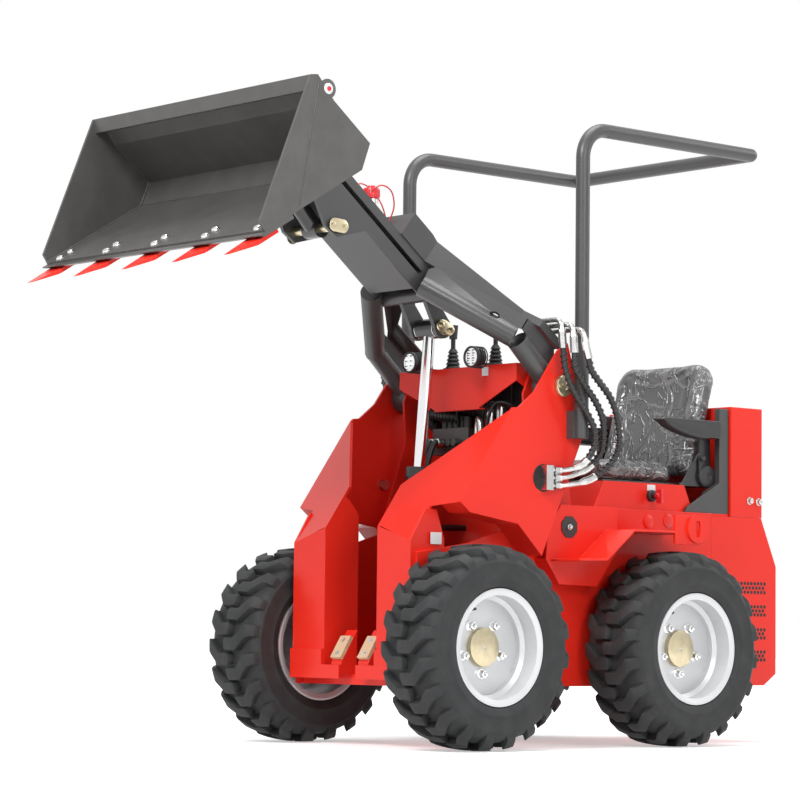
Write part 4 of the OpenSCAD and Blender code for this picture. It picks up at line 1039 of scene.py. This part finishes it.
# steel pipes of the control valve, bent over inside the towers
valvePipes = {
    "radius": 7,
    "block": ((19, 116), (24, 166), (862, 915)), "plugY": (44, 78, 112, 146), "plugZ": 888,
    "runs": [[(84, 40, 920), (85, 42, 946), (92, 52, 970), (100, 66, 974), (106, 78, 958), (108, 82, 920)],
             [(74, 80, 920), (76, 84, 974), (82, 94, 998), (90, 108, 1000), (96, 118, 982), (98, 120, 920)],
             [(62, 112, 920), (64, 116, 990), (70, 126, 1012), (78, 140, 1012), (84, 150, 996),
              (86, 152, 920)]],
}


def makeValvePipes():
    block = bmesh.new()
    addBox(block, *valvePipes["block"], machineFrame, 4)
    for y in valvePipes["plugY"]:
        spot = facing(machineFrame, valvePipes["block"][0][1], y, valvePipes["plugZ"], "+x")
        turn(block, [(0, 0), (13, 0), (13, 5), (11, 7), (6, 7), (5, 4), (0, 4)], spot, 6)
    makePiece("pipeBlock", block, "castIron", "chassis")
    pipes = bmesh.new()
    for run in valvePipes["runs"]:
        sweep(pipes, smoothLine(run, 8), valvePipes["radius"], machineFrame, 5)
        for point in (run[0], run[-1]):
            spot = facing(machineFrame, point[0], point[1], point[2] - 12, "+z")
            turn(pipes, [(0, 0), (12, 0), (12, 14), (10, 16), (0, 16)], spot, 6)
    makePiece("valvePipes", pipes, "boltZinc", "chassis")


# front bay: dark lining behind the valve, ribbed air duct and wires
bay = {
    "lining": ((13, 19), (-246, 246), (958, 1118)), "ribY": (-210, -126, -42, 42, 126, 210),
    "airRadius": 17, "ringPitch": 9, "wireRadius": 4.2,
    "air": [(14, -200, 950), (60, -204, 986), (92, -190, 1000), (104, -150, 1000), (100, -110, 992),
            (72, -70, 986), (14, -50, 972)],
    "wires": [[(17, 150, 968), (62, 146, 1002), (94, 112, 1022), (84, 68, 984), (60, 58, 912)],
              [(17, 190, 966), (74, 186, 1006), (106, 150, 1016), (106, 112, 966), (92, 100, 912)],
              [(17, 60, 970), (66, 52, 1022), (96, 6, 1036), (88, -42, 1000), (62, -58, 946)]],
}


def makeBay():
    lining = bmesh.new()
    addBox(lining, *bay["lining"], machineFrame, 2, 2)
    for y in bay["ribY"]:
        addBox(lining, (18, 26), (y - 5, y + 5), (966, 1110), machineFrame, 2, 1)
    makePiece("bayLining", lining, "blackPlastic", "chassis")
    air = bmesh.new()
    line = smoothLine(bay["air"], 10)
    sweep(air, line, bay["airRadius"], machineFrame, 5)
    rings = evenLine(line, bay["ringPitch"])
    for point, ahead in zip(rings[1:-1], rings[2:]):
        along = (ahead - point).to_track_quat("Z", "Y").to_matrix().to_4x4()
        ring = machineFrame @ Matrix.Translation(point) @ along
        turn(air, [(16.5, -2.4), (19, -1.6), (19.8, 0), (19, 1.6), (16.5, 2.4)], ring, 20)
    makePiece("airDuct", air, "hoseRubber", "chassis", 60)
    for k, points in enumerate(bay["wires"]):
        wire = bmesh.new()
        line = smoothLine(points, 8)
        sweep(wire, line, bay["wireRadius"], machineFrame, 3)
        obj = makePiece(f"bayWire_{k + 1}", wire, "hoseRubber", "chassis", 60)


makeValvePipes()
makeBay()
print("front bay made")


# rest pads: countersunk screws
padFit = {"lowAngle": -57.6, "u": 908, "y": 60, "top": -4, "spacing": 22}


def makePadScrews():
    screws = bmesh.new()
    lowFrame = tilted(*machine["pivot"], -padFit["lowAngle"])
    for side in (-1, 1):
        for end in (-1, 1):
            spot = facing(lowFrame, padFit["u"] + end * padFit["spacing"], side * padFit["y"], padFit["top"],
                          "+z")
            turn(screws, [(0, 0.3), (3, 0.3), (3, 0.9), (7, 1.2), (7.6, 0.1), (0, -0.4)], spot, 20)
    makePiece("padScrews", screws, "boltZinc", "chassis")


makePadScrews()
print("small fittings made")


# seat: padded cushion and back in dark vinyl, still under their clear delivery film
seat = {
    "cushionX": (-640, -282), "halfWidth": 215, "cushionZ": (804.6, 868), "backFoot": (-652, 804.6),
    "backLean": 14,
    "backThick": 68, "backHigh": 420, "inset": 8, "voxel": 6, "pressure": 4, "cap": 12,
}


def settleCloth(obj):
    remesh = obj.modifiers.new("remesh", "REMESH")
    remesh.mode = "VOXEL"
    remesh.voxel_size = seat["voxel"] / 1000
    applyModifiers(obj)
    before = [v.co.copy() for v in obj.data.vertices]
    cloth = obj.modifiers.new("cloth", "CLOTH")
    cloth.settings.use_pressure = True
    cloth.settings.uniform_pressure_force = seat["pressure"]
    cloth.settings.effector_weights.gravity = 0
    cloth.settings.quality = 5
    cloth.point_cache.frame_start = 1
    cloth.point_cache.frame_end = 20
    for number in range(1, 21):
        scene.frame_set(number)
    applyModifiers(obj)
    limit = seat["cap"] / 1000
    for v, start in zip(obj.data.vertices, before):
        move = v.co - start
        if move.length > limit:
            v.co = start + move.normalized() * limit
    scene.frame_set(1)


def applyModifiers(obj):
    graph = bpy.context.evaluated_depsgraph_get()
    mesh = bpy.data.meshes.new_from_object(obj.evaluated_get(graph), preserve_all_data_layers=True,
                                           depsgraph=graph)
    old = obj.data
    obj.modifiers.clear()
    obj.data = mesh
    bpy.data.meshes.remove(old)


def crease(value, middle, width, depth):
    return -depth * math.exp(-((value - middle) / width) ** 2)


def finishPad(obj, node, name):
    mesh = obj.data
    mesh.name = name
    smooth = obj.modifiers.new("smooth", "SUBSURF")
    smooth.levels = 1
    smooth.render_levels = 1
    mesh.materials.clear()
    mesh.materials.append(paints["filmedVinyl"])
    mesh.shade_smooth()
    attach(obj, "chassis")
    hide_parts(node)


# sets a block in its place and lets its cloth settle
def settledPad(name, block, matrix):
    bm = bmesh.new()
    absorb(bm, block, matrix)
    mesh = bpy.data.meshes.new(name)
    bm.to_mesh(mesh)
    bm.free()
    obj = linked(name, mesh)
    settleCloth(obj)
    return obj


def roundBlock(x, y, z, corner, edge, tallEdges):
    bm = bmesh.new()
    bmesh.ops.create_cube(bm, size=1)
    bmesh.ops.scale(bm, vec=(x[1] - x[0], y[1] - y[0], z[1] - z[0]), verts=bm.verts)
    bmesh.ops.translate(bm, vec=((x[0] + x[1]) / 2, (y[0] + y[1]) / 2, (z[0] + z[1]) / 2), verts=bm.verts)
    roundEdges(bm, [e for e in bm.edges if tallEdges(e)], corner, 8)
    roundEdges(bm, [e for e in bm.edges if e.calc_face_angle(0) > 0.8], edge, 4)
    return bm


def makeSeat():
    inset, half = seat["inset"], seat["halfWidth"]
    x0, x1 = seat["cushionX"]
    z0, z1 = seat["cushionZ"]
    upright = lambda e: abs(e.verts[0].co.z - e.verts[1].co.z) > 20
    bm = roundBlock((x0 + inset, x1 - inset), (-half + inset, half - inset), (z0 + 4, z1 - inset - 2), 60,
                    16, upright)
    cushion = settledPad("seatCushion", bm, machineFrame)
    low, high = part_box("seat_cushion")
    for v in cushion.data.vertices:
        local = machineFrame.inverted() @ v.co
        if local.z > z0 + 30:
            local.z += crease(abs(local.y), 128, 9, 7) + crease(local.x, x0 + 110, 9, 5) * (abs(local.y) < 128)
        v.co = machineFrame @ local
        v.co.z = min(max(v.co.z, low[2]), high[2] + 0.006)
    finishPad(cushion, "seat_cushion", "seatCushion")
    lean = tilted(*seat["backFoot"], -seat["backLean"])
    topEdge = lambda e: abs(e.verts[0].co.x - e.verts[1].co.x) > 20 and e.verts[0].co.z > 100
    bm = roundBlock((-seat["backThick"] + inset, -inset), (-half + inset, half - inset),
                    (30, seat["backHigh"] - inset), 70, 18, topEdge)
    back = settledPad("seatBack", bm, lean)
    for v in back.data.vertices:
        local = lean.inverted() @ v.co
        if local.x > -30:
            inside = 1 / (1 + math.exp((abs(local.y) - 124) / 10)) / (1 + math.exp((local.z - 335) / 14))
            local.x += -14 * inside + crease(abs(local.y), 138, 8, 7) * (local.z < 350)
            local.x += crease(local.z, 345 + 0.0016 * local.y ** 2, 8, 6) * (abs(local.y) < 140)
        v.co = lean @ local
    finishPad(back, "seat_back", "seatBack")


# moulded arm pads over the seat's arms, and the recliner at the foot of the back
seatTrim = {
    "arm": [(-738, 940), (-640, 941), (-596, 949), (-548, 960), (-512, 972), (-492, 984), (-482, 995),
            (-484, 1001), (-500, 1004), (-738, 1003)],
    "armY": (227, 275), "armEdge": 11,
    "discAt": (-716, 828), "discY": 228, "discRadius": 36, "leverAt": (-690, 884),
    "leverY": (228, 236), "knobY": 232,
}


def makeSeatTrim():
    low, high = seatTrim["armY"]
    for side, tag in ((1, "left"), (-1, "right")):
        pad = bmesh.new()
        addPlate(pad, seatTrim["arm"], (side * low, side * high), machineFrame, seatTrim["armEdge"])
        obj = makePiece("armPad_" + tag, pad, "blackPlastic", "chassis", 50)
        smooth = obj.modifiers.new("smooth", "SUBSURF")
        smooth.levels = 1
        smooth.render_levels = 1
        recliner = bmesh.new()
        x, z = seatTrim["discAt"]
        r = seatTrim["discRadius"]
        spot = sideways(machineFrame, x, seatTrim["discY"], z, side)
        turn(recliner, [(0, 0), (r, 0), (r, 9), (r - 3, 13), (r - 9, 15), (12, 16), (10, 13), (0, 13)], spot,
             40)
        x, z = seatTrim["leverAt"]
        lever = sorted(side * y for y in seatTrim["leverY"])
        addBox(recliner, (x - 9, x + 9), lever, (z - 60, z + 8), machineFrame, 3)
        turn(recliner, [(0, 0), (9, 0), (9, 14), (7, 16), (0, 16)],
             sideways(machineFrame, x, seatTrim["knobY"], z, side), 20)
        makePiece("recliner_" + tag, recliner, "blackPlastic", "chassis")


makeSeat()
makeSeatTrim()
print("seat made")


# studio: pale floor, soft light, white surround
studio = {
    "floorSize": 60, "floorColour": (0.86, 0.86, 0.86), "surround": 0.30, "nearGlow": 0.46, "fade": (1.6, 3.6),
    "aim": (100, 0, 900),
    "lamps": {
        "keyLamp": dict(place=(5200, 2000, 4900), size=2.6, power=360),
        "sideLamp": dict(place=(1200, 6200, 3400), size=3.0, power=120),
        "topLamp": dict(place=(-300, 300, 6000), size=4.0, power=230),
        "rearLamp": dict(place=(-4800, 2500, 3600), size=3.0, power=70),
    },
}


def showsBackdrop(tree):
    path = tree.nodes.new("ShaderNodeLightPath")
    total = path.outputs["Is Camera Ray"]
    for label in ("Is Glossy Ray", "Is Transmission Ray"):
        total = mathNode(tree, "ADD", total, path.outputs[label], clamp=True)
    return total


def makeStudio():
    world = bpy.data.worlds.new("surround")
    scene.world = world
    world.use_nodes = True
    tree = world.node_tree
    background = tree.nodes["Background"]
    background.inputs["Color"].default_value = (1, 1, 1, 1)
    tree.links.new(spread(tree, showsBackdrop(tree), studio["surround"], 1.0, 0, 1),
                   background.inputs["Strength"])
    bm = bmesh.new()
    bmesh.ops.create_grid(bm, x_segments=1, y_segments=1, size=studio["floorSize"] / 2)
    mesh = bpy.data.meshes.new("floor")
    bm.to_mesh(mesh)
    bm.free()
    floor = linked("floor", mesh)
    mat, tree, shader = newMaterial("floorPaint")
    shader.inputs["Base Color"].default_value = (*studio["floorColour"], 1)
    shader.inputs["Roughness"].default_value = 0.9
    shader.inputs["Specular IOR Level"].default_value = 0.0
    shader.inputs["Emission Color"].default_value = (1, 1, 1, 1)
    # the far floor runs out into the white surround, the near floor keeps the shadow
    away = addNode(tree, "ShaderNodeVectorMath", operation="LENGTH")
    tree.links.new(tree.nodes.new("ShaderNodeTexCoord").outputs["Object"], away.inputs[0])
    fade = spread(tree, away.outputs["Value"], studio["nearGlow"], 1.0, *studio["fade"])
    tree.links.new(mathNode(tree, "MULTIPLY", fade, showsBackdrop(tree)), shader.inputs["Emission Strength"])
    mesh.materials.append(mat)
    for name, lamp in studio["lamps"].items():
        light = bpy.data.lights.new(name, "AREA")
        light.shape = "DISK"
        light.size = lamp["size"]
        light.energy = lamp["power"]
        linked(name, light).matrix_world = aimed(lamp["place"], studio["aim"])


setCamera()
makeStudio()
print("studio set")
